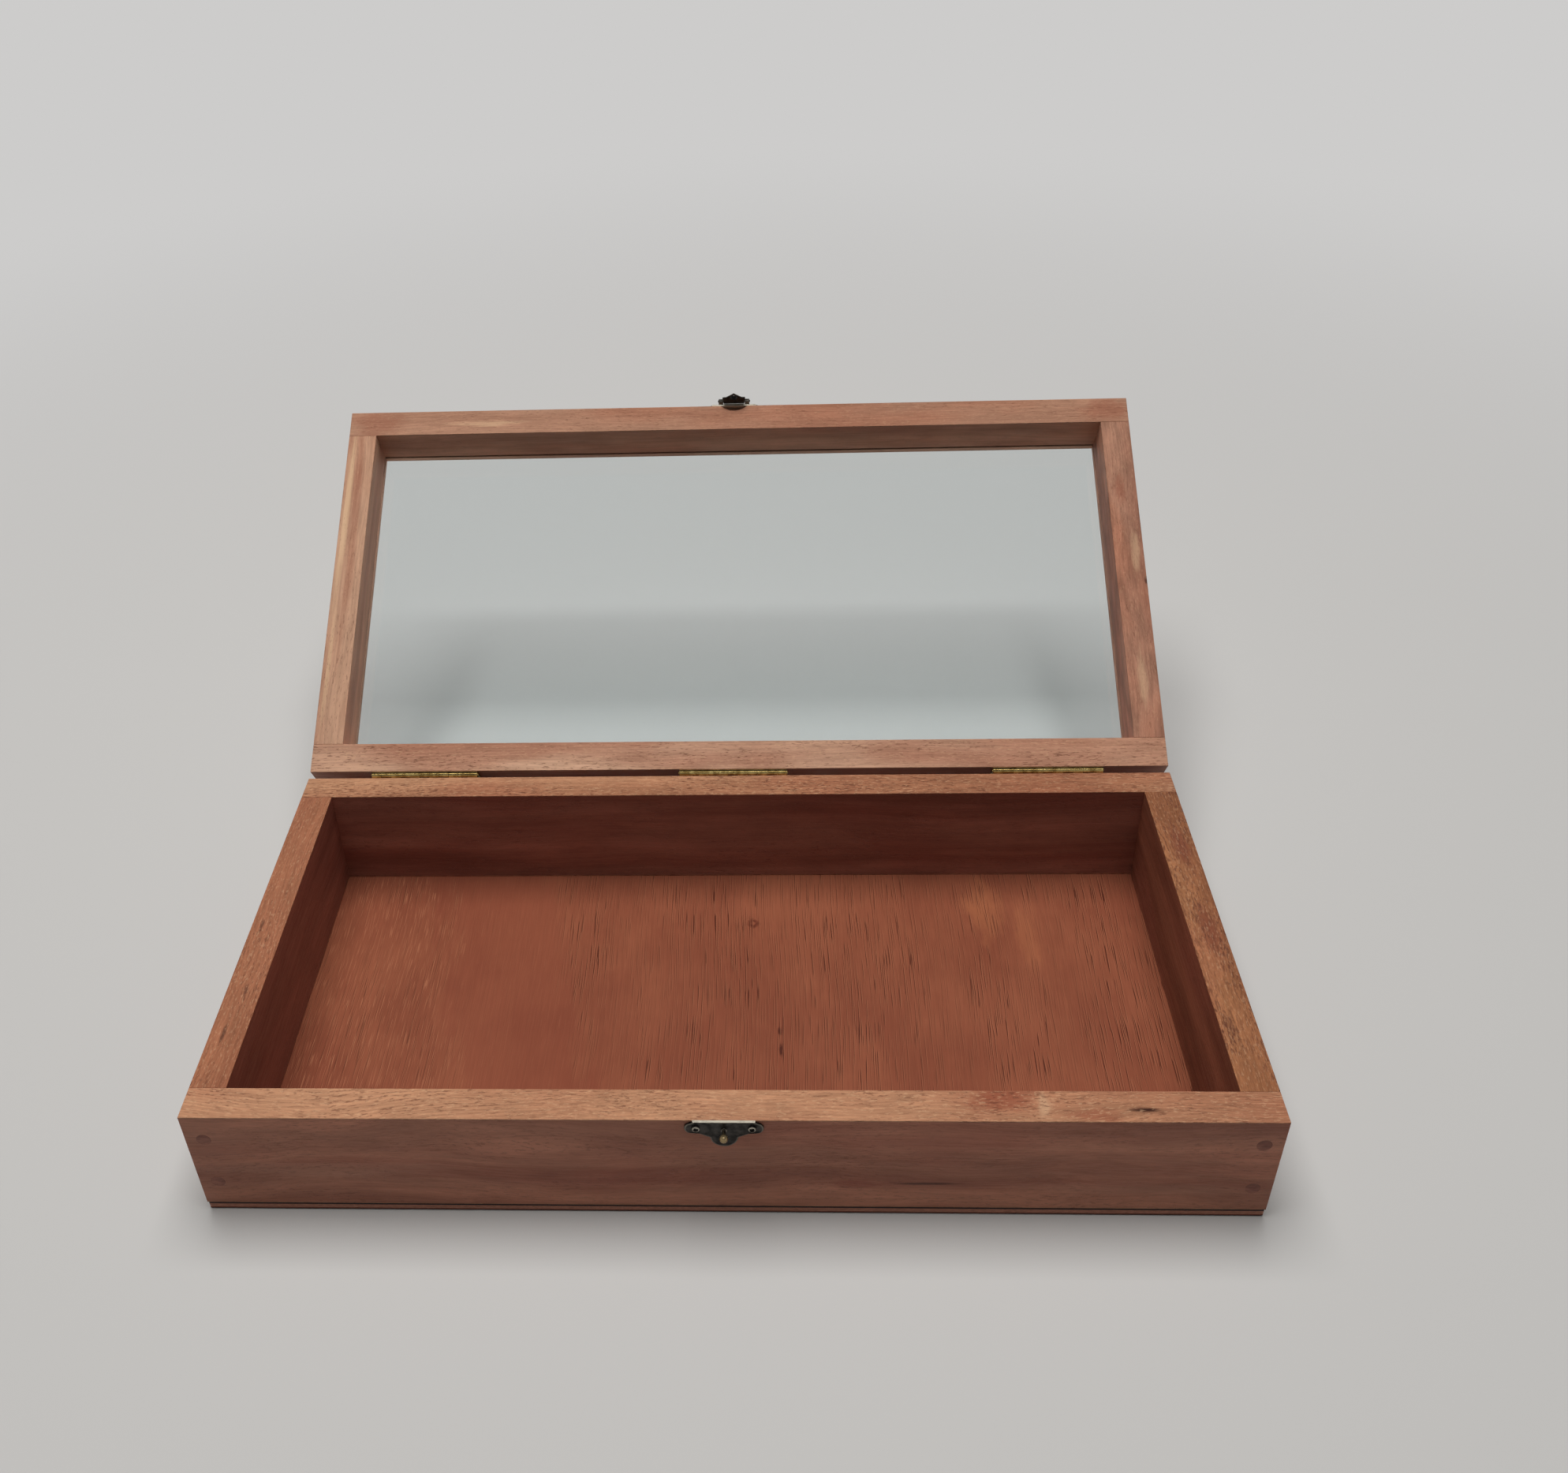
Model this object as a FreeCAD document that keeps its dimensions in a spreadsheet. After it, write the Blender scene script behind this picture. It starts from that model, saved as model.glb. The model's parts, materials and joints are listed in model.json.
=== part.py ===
import FreeCAD, Part
import Sketcher
import math
import os
import re

# Shadow box display case: a butt-jointed wooden box with a hinged, glazed lid and a snap latch.
# Millimetres, +Z up, X across the front, Y from front to back. The origin is the middle of the
# underside. Lid pieces are drawn shut and turned about the hinge line to the open pose.

SIZES = {
    # boards of the case and the panel under them
    "case_width": 508,
    "case_depth": 256,
    "wall_thick": 18,
    "wall_height": 62.5,
    "panel_thick": 5,
    "panel_inset": 0.5,
    "edge_ease": 0.35,
    # lid frame, its open angle and the glass in its groove
    "lid_height": 32,
    "lid_gap": 0.5,
    "lid_angle": 149,
    "glass_depth": 25.8,
    "glass_thick": 2.4,
    "glass_play": 0.1,
    "groove_depth": 6,
    "glass_slack": 1,
    # thumb scoop under the latch
    "scoop_radius": 13.6,
    "scoop_offset": 7.3,
    # corner screws under wood plugs
    "plug_dia": 7,
    "plug_length": 6,
    "plug_low": 16,
    "plug_high": 46.8,
    "lid_plug_height": 13,
    "screw_head_dia": 6.6,
    "screw_head_height": 3.2,
    "screw_dia": 4,
    "screw_length": 34,
    "fit": 0.03,
    "seat_gap": 0.1,
    # brads of the bottom panel
    "brad_dia": 1.4,
    "brad_length": 22,
    "brad_head_dia": 2.6,
    "brad_head_height": 0.8,
    "brad_sunk": 0.3,
    "brad_pitch": 100,
    "brad_side": 60,
    # brass hinges on the back faces
    "hinge_spacing": 184,
    "hinge_length": 63.5,
    "hinge_offset": 2.4,
    "barrel_radius": 2.1,
    "pin_radius": 1,
    "pin_play": 0.06,
    "pin_end": 0.5,
    "knuckle_count": 11,
    "knuckle_gap": 0.16,
    "leaf_thick": 1,
    "leaf_height": 13,
    "leaf_start": 2.5,
    "leaf_screw_drop": 8,
    "leaf_screw_pitch": 24,
    "leaf_screw_dia": 2.2,
    "leaf_screw_head": 4.2,
    "leaf_screw_length": 11,
    "cross_width": 0.6,
    "cross_span": 2.2,
    "cross_depth": 0.5,
    # catch plate, latch plate and their pan-head screws
    "plate_thick": 1.2,
    "plate_half": 14.5,
    "plate_hip": 13,
    "plate_hip_drop": 7.4,
    "plate_waist": 6.2,
    "plate_waist_drop": 10.9,
    "lobe_radius": 6.4,
    "lobe_drop": 10.6,
    "ear_radius": 3.4,
    "ear_place": 14.9,
    "ear_drop": 4.6,
    "ear_thick": 0.8,
    "pan_place": 12.9,
    "pan_dia": 3,
    "pan_height": 1,
    "pan_screw_dia": 2.2,
    "pan_screw_length": 10,
    # ball stud of the catch
    "ball_radius": 2.05,
    "ball_out": 6,
    "ball_drop": 5.6,
    "stud_dia": 1.9,
    "stud_root": 8,
    "collar_dia": 3,
    "collar_height": 0.3,
    # latch flap, its pin and the knuckles that hold it
    "latch_rise": 0.2,
    "latch_lip": 0.4,
    "latch_lip_height": 0.6,
    "latch_pin_out": 3.2,
    "latch_pin_drop": 0.3,
    "latch_pin_radius": 0.7,
    "latch_barrel": 1.5,
    "latch_knuckle": 3,
    "latch_knuckle_gap": 0.25,
    "web_low": 0.3,
    "web_high": 3.4,
    "flap_half": 6.8,
    "flap_thick": 0.8,
    "flap_back": 1.65,
    "flap_neck": 3.4,
    "shoulder_half": 7.4,
    "shoulder_drop": 5.9,
    "eave_half": 5.3,
    "tip_drop": 10.3,
    "snap_hole_dia": 4.7,
    "snap_hole_drop": 6.3,
    "snap_hood_dia": 5.7,
    "snap_hood_height": 2.5,
    "hood_mouth_low": 0.5,
    "hood_mouth_high": 2.3,
}

RIM = "(panel_thick + wall_height)"
LID_BASE = f"({RIM} + lid_gap)"
HINGE_Y = "(case_depth / 2 + hinge_offset)"
HINGE_Z = f"({RIM} + lid_gap / 2)"
INNER_WIDTH = "(case_width - 2 * wall_thick)"
INNER_DEPTH = "(case_depth - 2 * wall_thick)"
GROOVE_WIDTH = "(glass_thick + 2 * glass_play)"
BORE_DEPTH = "(plug_length + seat_gap + screw_head_height)"
KNUCKLE_PITCH = "(hinge_length / knuckle_count)"
COUNTERSINK = 45
PAN_TAPER = 20
# reach of an outline before its constraints place its corners
ROUGH_REACH = 9

doc = FreeCAD.newDocument("ShadowBox")
pieces = []


def make_sheet():
    sheet = doc.addObject("Spreadsheet::Sheet", "Sizes")
    for row, (alias, value) in enumerate(SIZES.items(), start=1):
        sheet.set(f"A{row}", alias)
        sheet.set(f"B{row}", str(value))
        sheet.setAlias(f"B{row}", alias)
    doc.recompute()


def cell(formula):
    """The formula with each alias written as a cell of the sheet."""
    return re.sub(r"[a-z_]+", lambda word: f"Sizes.{word[0]}" if word[0] in SIZES else word[0], formula)


def stand(x="0", y="0", z="0", turn="0", axis="0; 0; 1"):
    """Formula of a placement: where a piece stands and how far it is turned about an axis."""
    return f"placement(vector({x}; {y}; {z}); rotation(vector({axis}); {turn}))"


def on_lid(place):
    """The place of a lid piece after the lid is turned open about the hinge line."""
    hinge_line = f"vector(0; {HINGE_Y}; {HINGE_Z})"
    return f"placement(vector(0; 0; 0); rotation(vector(1; 0; 0); -lid_angle); {hinge_line}) * {place}"


def new_piece(label, place):
    body = doc.addObject("PartDesign::Body", label)
    body.Label = label
    body.setExpression("Placement", cell(place))
    pieces.append(body)
    return body


def origin_feature(body, role):
    return next(feature for feature in body.Origin.OriginFeatures if feature.Role == role)


def sketch_on(body, name, plane, lift="0"):
    sketch = body.newObject("Sketcher::SketchObject", name)
    sketch.AttachmentSupport = [(origin_feature(body, plane), "")]
    sketch.MapMode = "FlatFace"
    sketch.setExpression("AttachmentOffset.Base.z", cell(lift))
    return sketch


def fix(sketch, kind, *where, size):
    index = sketch.addConstraint(Sketcher.Constraint(kind, *where, 1.0))
    sketch.setExpression(f"Constraints[{index}]", cell(size))


def outline(sketch, corners):
    """A closed outline of straight edges, each corner fixed from the sketch's origin."""
    first = sketch.GeometryCount
    count = len(corners)
    turns = [2 * math.pi * k / count for k in range(count)]
    start = [FreeCAD.Vector(ROUGH_REACH * math.cos(turn), ROUGH_REACH * math.sin(turn), 0) for turn in turns]
    for k in range(count):
        sketch.addGeometry(Part.LineSegment(start[k], start[(k + 1) % count]))
    for k, (x, y) in enumerate(corners):
        sketch.addConstraint(Sketcher.Constraint("Coincident", first + k, 2, first + (k + 1) % count, 1))
        fix(sketch, "DistanceX", -1, 1, first + k, 1, size=x)
        fix(sketch, "DistanceY", -1, 1, first + k, 1, size=y)


def block(sketch, width, low, high, middle="0"):
    """A rectangle of that width about middle, from low to high."""
    left = f"{middle} - {width} / 2"
    right = f"{middle} + {width} / 2"
    outline(sketch, [(left, low), (right, low), (right, high), (left, high)])


def rounds(sketch, places, diameter):
    for x, y in places:
        ring = sketch.addGeometry(Part.Circle(FreeCAD.Vector(1, 1, 0), FreeCAD.Vector(0, 0, 1), 1))
        fix(sketch, "DistanceX", -1, 1, ring, 3, size=x)
        fix(sketch, "DistanceY", -1, 1, ring, 3, size=y)
        fix(sketch, "Diameter", ring, size=diameter)


def pad(body, name, sketch, length, back=False, taper=0):
    """Material along the sketch's normal, or against it with back."""
    feature = body.newObject("PartDesign::Pad", name)
    feature.Profile = sketch
    feature.setExpression("Length", cell(length))
    feature.Reversed = back
    feature.TaperAngle = taper
    return feature


def pocket(body, name, sketch, length, along=False, taper=0):
    """A cut against the sketch's normal, or along it."""
    feature = body.newObject("PartDesign::Pocket", name)
    feature.Profile = sketch
    feature.setExpression("Length", cell(length))
    feature.Reversed = along
    feature.TaperAngle = taper
    return feature


def ease(body, base):
    """Small round on every edge of the base feature."""
    doc.recompute()
    feature = body.newObject("PartDesign::Fillet", "EasedEdges")
    feature.Base = (base, [f"Edge{k}" for k in range(1, len(base.Shape.Edges) + 1)])
    feature.setExpression("Radius", cell("edge_ease"))
    return feature


def ball(body, kind, name, radius, x, z, out):
    """A sphere added to or cut from the piece, out in front of its face."""
    feature = body.newObject(f"PartDesign::{kind}Sphere", name)
    feature.AttachmentSupport = [(origin_feature(body, "XZ_Plane"), "")]
    feature.MapMode = "FlatFace"
    feature.setExpression("Radius", cell(radius))
    for letter, size in (("x", x), ("y", z), ("z", out)):
        feature.setExpression(f"AttachmentOffset.Base.{letter}", cell(size))
    return feature


def mirrored(*places):
    """Each place and its mirror image across the middle."""
    return [(f"{side} * {x}", y) for x, y in places for side in (-1, 1)]


def plank(label, place, length, height):
    """A board on edge: length along X, outer face at Y = 0, foot at Z = 0."""
    body = new_piece(label, place)
    face = sketch_on(body, "Face", "XZ_Plane")
    block(face, length, "0", height)
    ease(body, pad(body, "Blank", face, "wall_thick", back=True))
    return body


def bore(body, name, places, diameter, depth, start="0"):
    """Round holes into the face, from a depth below it."""
    rings = sketch_on(body, f"{name}Rings", "XZ_Plane", lift=f"-({start})")
    rounds(rings, places, diameter)
    pocket(body, name, rings, depth)


def end_bores(body, length, places, diameter, depth):
    """Round holes into both end grains of a board."""
    for name, lift, along in (("RightEnd", f"{length} / 2", False), ("LeftEnd", f"-{length} / 2", True)):
        rings = sketch_on(body, f"{name}Rings", "YZ_Plane", lift=lift)
        rounds(rings, places, diameter)
        pocket(body, name, rings, depth, along=along)


def foot_bores(body, places):
    """Brad holes up into the foot of a board."""
    rings = sketch_on(body, "BradRings", "XY_Plane")
    rounds(rings, places, "brad_dia + 2 * fit")
    pocket(body, "BradHoles", rings, "brad_length", along=True)


def pegs(label, place, places, layers):
    """A group of like round pieces driven into a face: each layer is a stretch along their axes."""
    body = new_piece(label, place)
    for name, diameter, start, length, taper in layers:
        rings = sketch_on(body, f"{name}Rings", "XZ_Plane", lift=f"-({start})")
        rounds(rings, places, diameter)
        pad(body, name, rings, length, back=True, taper=taper)
    return body


def cross_recess(body, places, start):
    """A cross slot in each screw head of a group."""
    arms = {"Bar": ("cross_span", "cross_width"), "Upright": ("cross_width", "cross_span")}
    for name, (width, height) in arms.items():
        slots = sketch_on(body, f"{name}Slots", "XZ_Plane", lift=f"-({start})")
        for x, y in places:
            block(slots, width, f"{y} - {height} / 2", f"{y} + {height} / 2", middle=x)
        pocket(body, name, slots, "cross_depth")


def corner_bores(body, places):
    """Plug bore and screw hole at each corner screw."""
    bore(body, "PlugBores", places, "plug_dia + 2 * fit", BORE_DEPTH)
    bore(body, "ScrewHoles", places, "screw_dia + 2 * fit", "wall_thick")


def corner_fasteners(stem, place, places):
    """The wood plugs and, under them, the screws of one board's corners."""
    pegs(f"{stem}_plugs", place, places, [("Plug", "plug_dia", "0", "plug_length", 0)])
    head_start = "plug_length + seat_gap"
    pegs(f"{stem}_screws", place, places, [
        ("Head", "screw_head_dia", head_start, "screw_head_height", 0),
        ("Shank", "screw_dia", BORE_DEPTH, "screw_length", 0),
    ])


def leaf_screw_places(height):
    """Screw places of the three hinges on a back face, at a height above its foot."""
    return [
        (f"{hinge} * hinge_spacing + {k} * leaf_screw_pitch", height)
        for hinge in (-1, 0, 1)
        for k in (-1, 0, 1)
    ]


def leaf_screws(label, place, places):
    body = pegs(label, place, places, [
        ("Head", "leaf_screw_head", "-leaf_thick", "leaf_thick", -COUNTERSINK),
        ("Shank", "leaf_screw_dia", "0", "leaf_screw_length", 0),
    ])
    cross_recess(body, places, "-leaf_thick")


def hinge_leaf(label, place, first_knuckle, knuckles, bore_radius):
    """A flat leaf on the back face, hanging from its row of knuckles round the hinge line."""
    body = new_piece(label, place)
    plate_face = "hinge_offset - leaf_thick"
    face = sketch_on(body, "Leaf", "XZ_Plane", lift=plate_face)
    block(face, "hinge_length", "-leaf_height", "-leaf_start")
    pad(body, "Plate", face, "leaf_thick")
    start = f"{first_knuckle} * {KNUCKLE_PITCH} - hinge_length / 2 + knuckle_gap / 2"
    web_section = sketch_on(body, "WebSection", "YZ_Plane", lift=start)
    outline(web_section, [
        ("-hinge_offset", "-leaf_start - leaf_thick"),
        (f"-({plate_face})", "-leaf_start - leaf_thick"),
        (f"-({plate_face})", "0"),
        ("-barrel_radius", "0"),
        ("-hinge_offset", "-leaf_thick"),
    ])
    web = pad(body, "Web", web_section, f"{KNUCKLE_PITCH} - knuckle_gap")
    ring = sketch_on(body, "KnuckleSection", "YZ_Plane", lift=start)
    rounds(ring, [("0", "0")], "2 * barrel_radius")
    knuckle = pad(body, "Knuckle", ring, f"{KNUCKLE_PITCH} - knuckle_gap")
    doc.recompute()
    row = body.newObject("PartDesign::LinearPattern", "KnuckleRow")
    row.Originals = [web, knuckle]
    row.Direction = (origin_feature(body, "X_Axis"), [""])
    row.setExpression("Length", cell(f"2 * {knuckles - 1} * {KNUCKLE_PITCH}"))
    row.Occurrences = knuckles
    body.Tip = row
    eye = sketch_on(body, "Eye", "YZ_Plane", lift="-hinge_length")
    rounds(eye, [("0", "0")], f"2 * ({bore_radius})")
    pocket(body, "PinBore", eye, "2 * hinge_length", along=True)
    rings = sketch_on(body, "ScrewRings", "XZ_Plane", lift=plate_face)
    rounds(rings, [(f"{k} * leaf_screw_pitch", "-leaf_screw_drop") for k in (-1, 0, 1)],
           "leaf_screw_head + 2 * fit")
    pocket(body, "Countersinks", rings, "leaf_thick", along=True, taper=-COUNTERSINK)


def hinges():
    """Three hinges: a case leaf, a lid leaf and a pin each."""
    names = {"left": -1, "middle": 0, "right": 1}
    for name, hinge in names.items():
        middle = f"{hinge} * hinge_spacing"
        shut = stand(middle, HINGE_Y, HINGE_Z)
        flipped = stand(middle, HINGE_Y, HINGE_Z, turn="180", axis="0; 1; 0")
        lid_knuckles = SIZES["knuckle_count"] // 2
        hinge_leaf(f"{name}_hinge_case_leaf", shut, 0, lid_knuckles + 1, "pin_radius + fit")
        hinge_leaf(f"{name}_hinge_lid_leaf", on_lid(flipped), 1, lid_knuckles, "pin_radius + pin_play")
        pin = new_piece(f"{name}_hinge_pin", shut)
        end = sketch_on(pin, "End", "YZ_Plane", lift="-hinge_length / 2 - pin_end")
        rounds(end, [("0", "0")], "2 * pin_radius")
        ease(pin, pad(pin, "Rod", end, "hinge_length + 2 * pin_end"))


def stamped_plate(label, place, edge, way):
    """A bell-shaped plate with two ears and a round lobe, from its straight edge up or down."""
    body = new_piece(label, place)

    def at(drop):
        return f"{edge} + {way} * {drop}"

    right = [
        ("plate_half", edge),
        ("plate_hip", at("plate_hip_drop")),
        ("plate_waist", at("plate_waist_drop")),
    ]
    left = [(f"-{x}", y) for x, y in reversed(right)]
    face = sketch_on(body, "BellFace", "XZ_Plane")
    outline(face, right + left)
    pad(body, "Bell", face, "plate_thick")
    lobe = sketch_on(body, "LobeFace", "XZ_Plane")
    rounds(lobe, [("0", at("lobe_drop"))], "2 * lobe_radius")
    pad(body, "Lobe", lobe, "plate_thick")
    ears = sketch_on(body, "EarFaces", "XZ_Plane")
    rounds(ears, mirrored(("ear_place", at("ear_drop"))), "2 * ear_radius")
    pad(body, "Ears", ears, "ear_thick")
    holes = sketch_on(body, "HoleRings", "XZ_Plane", lift="plate_thick")
    rounds(holes, mirrored(("pan_place", at("ear_drop"))), "pan_screw_dia + 2 * fit")
    pocket(body, "Holes", holes, "plate_thick")
    return body


def pan_screws(label, place, places):
    body = pegs(label, place, places, [
        ("Head", "pan_dia", "-plate_thick - pan_height", "pan_height", PAN_TAPER),
        ("Shank", "pan_screw_dia", "-plate_thick", "plate_thick + pan_screw_length", 0),
    ])
    cross_recess(body, places, "-plate_thick - pan_height")


def case_boards():
    """Four butt-jointed boards on the bottom panel, with their screws, plugs and brads."""
    long_places = mirrored(("(case_width - wall_thick) / 2", "plug_low"),
                           ("(case_width - wall_thick) / 2", "plug_high"))
    long_brads = [(f"{k} * brad_pitch", "wall_thick / 2") for k in (-2, -1, 0, 1, 2)]
    short_brads = mirrored(("brad_side", "wall_thick / 2"))
    pan_places = mirrored(("pan_place", "wall_height - ear_drop"))
    leaf_places = leaf_screw_places("wall_height + lid_gap / 2 - leaf_screw_drop")
    front = stand(y="-case_depth / 2", z="panel_thick")
    back = stand(y="case_depth / 2", z="panel_thick", turn="180")
    catch = stand(y="-case_depth / 2", z=RIM)

    board = plank("front_board", front, "case_width", "wall_height")
    corner_bores(board, long_places)
    foot_bores(board, long_brads)
    bore(board, "CatchScrewHoles", pan_places, "pan_screw_dia + 2 * fit", "pan_screw_length")
    bore(board, "StudHole", [("0", "wall_height - ball_drop")], "stud_dia + 2 * fit", "stud_root")
    board = plank("back_board", back, "case_width", "wall_height")
    corner_bores(board, long_places)
    foot_bores(board, long_brads)
    bore(board, "LeafScrewHoles", leaf_places, "leaf_screw_dia + 2 * fit", "leaf_screw_length")
    for name, side in (("left", -1), ("right", 1)):
        place = stand(x=f"{side} * case_width / 2", z="panel_thick", turn=f"{side} * 90")
        board = plank(f"{name}_board", place, INNER_DEPTH, "wall_height")
        ends = [("wall_thick / 2", "plug_low"), ("wall_thick / 2", "plug_high")]
        end_bores(board, INNER_DEPTH, ends, "screw_dia + 2 * fit", "screw_length")
        foot_bores(board, short_brads)
    corner_fasteners("front", front, long_places)
    corner_fasteners("back", back, long_places)
    leaf_screws("case_hinge_screws", back, leaf_places)

    plate = stamped_plate("catch_plate", catch, "0", -1)
    stud_hole = sketch_on(plate, "StudRing", "XZ_Plane", lift="plate_thick")
    rounds(stud_hole, [("0", "-ball_drop")], "stud_dia + 2 * fit")
    pocket(plate, "StudHole", stud_hole, "plate_thick")
    stud = new_piece("catch_stud", catch)
    for name, lift, diameter, length in (("Post", "-stud_root", "stud_dia", "stud_root + ball_out"),
                                         ("Collar", "plate_thick", "collar_dia", "collar_height")):
        ring = sketch_on(stud, f"{name}Ring", "XZ_Plane", lift=lift)
        rounds(ring, [("0", "-ball_drop")], diameter)
        pad(stud, name, ring, length)
    ball(stud, "Additive", "Ball", "ball_radius", "0", "-ball_drop", "ball_out")
    pan_screws("catch_screws", front, pan_places)


def bottom_panel():
    """The plywood panel under the boards and the brads driven up through it."""
    front_back = "(case_depth - wall_thick) / 2"
    left_right = "(case_width - wall_thick) / 2"
    places = [(f"{k} * brad_pitch", f"{side} * {front_back}") for k in (-2, -1, 0, 1, 2) for side in (-1, 1)]
    places += mirrored((left_right, "brad_side"), (left_right, "-brad_side"))
    panel = new_piece("bottom_panel", stand())
    face = sketch_on(panel, "Sheet", "XY_Plane")
    depth = "(case_depth - 2 * panel_inset)"
    block(face, "(case_width - 2 * panel_inset)", f"-{depth} / 2", f"{depth} / 2")
    ease(panel, pad(panel, "Panel", face, "panel_thick"))
    head_top = "brad_sunk + brad_head_height"
    for name, lift, diameter in (("HeadHoles", head_top, "brad_head_dia"),
                                 ("ShankHoles", "panel_thick", "brad_dia")):
        rings = sketch_on(panel, f"{name}Rings", "XY_Plane", lift=lift)
        rounds(rings, places, f"{diameter} + 2 * fit")
        pocket(panel, name, rings, lift)
    brads = new_piece("bottom_brads", stand())
    for name, lift, diameter, length in (("Head", "brad_sunk", "brad_head_dia", "brad_head_height"),
                                         ("Shank", head_top, "brad_dia", "brad_length")):
        rings = sketch_on(brads, f"{name}Rings", "XY_Plane", lift=lift)
        rounds(rings, places, diameter)
        pad(brads, name, rings, length)


def lid_frame():
    """Four butt-jointed rails round a glass pane, with the corner screws and plugs."""
    corner = mirrored(("(case_width - wall_thick) / 2", "lid_plug_height"))
    leaf_places = leaf_screw_places("leaf_screw_drop - lid_gap / 2")
    pan_places = mirrored(("pan_place", "latch_rise + ear_drop"))
    front = on_lid(stand(y="-case_depth / 2", z=LID_BASE))
    back = on_lid(stand(y="case_depth / 2", z=LID_BASE, turn="180"))

    def glass_groove(rail, length):
        slot = sketch_on(rail, "GrooveFace", "XZ_Plane", lift="-wall_thick")
        block(slot, length, "glass_depth", f"glass_depth + {GROOVE_WIDTH}")
        pocket(rail, "Groove", slot, "groove_depth", along=True)

    long_groove = f"({INNER_WIDTH} + 2 * groove_depth)"
    rail = plank("lid_front_rail", front, "case_width", "lid_height")
    corner_bores(rail, corner)
    glass_groove(rail, long_groove)
    bore(rail, "LatchScrewHoles", pan_places, "pan_screw_dia + 2 * fit", "pan_screw_length")
    ball(rail, "Subtractive", "ThumbScoop", "scoop_radius", "0", "-scoop_offset", "scoop_offset")
    rail = plank("lid_back_rail", back, "case_width", "lid_height")
    corner_bores(rail, corner)
    glass_groove(rail, long_groove)
    bore(rail, "LeafScrewHoles", leaf_places, "leaf_screw_dia + 2 * fit", "leaf_screw_length")
    for name, side in (("left", -1), ("right", 1)):
        place = on_lid(stand(x=f"{side} * case_width / 2", z=LID_BASE, turn=f"{side} * 90"))
        rail = plank(f"lid_{name}_rail", place, INNER_DEPTH, "lid_height")
        end_bores(rail, INNER_DEPTH, [("wall_thick / 2", "lid_plug_height")],
                  "screw_dia + 2 * fit", "screw_length")
        glass_groove(rail, INNER_DEPTH)
    corner_fasteners("lid_front", front, corner)
    corner_fasteners("lid_back", back, corner)
    leaf_screws("lid_hinge_screws", back, leaf_places)

    pane = new_piece("glass_pane", on_lid(stand(z=LID_BASE)))
    face = sketch_on(pane, "PaneFace", "XY_Plane", lift="glass_depth + glass_play")
    in_groove = "2 * (groove_depth - glass_slack)"
    depth = f"({INNER_DEPTH} + {in_groove})"
    block(face, f"({INNER_WIDTH} + {in_groove})", f"-{depth} / 2", f"{depth} / 2")
    ease(pane, pad(pane, "Pane", face, "glass_thick"))


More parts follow.
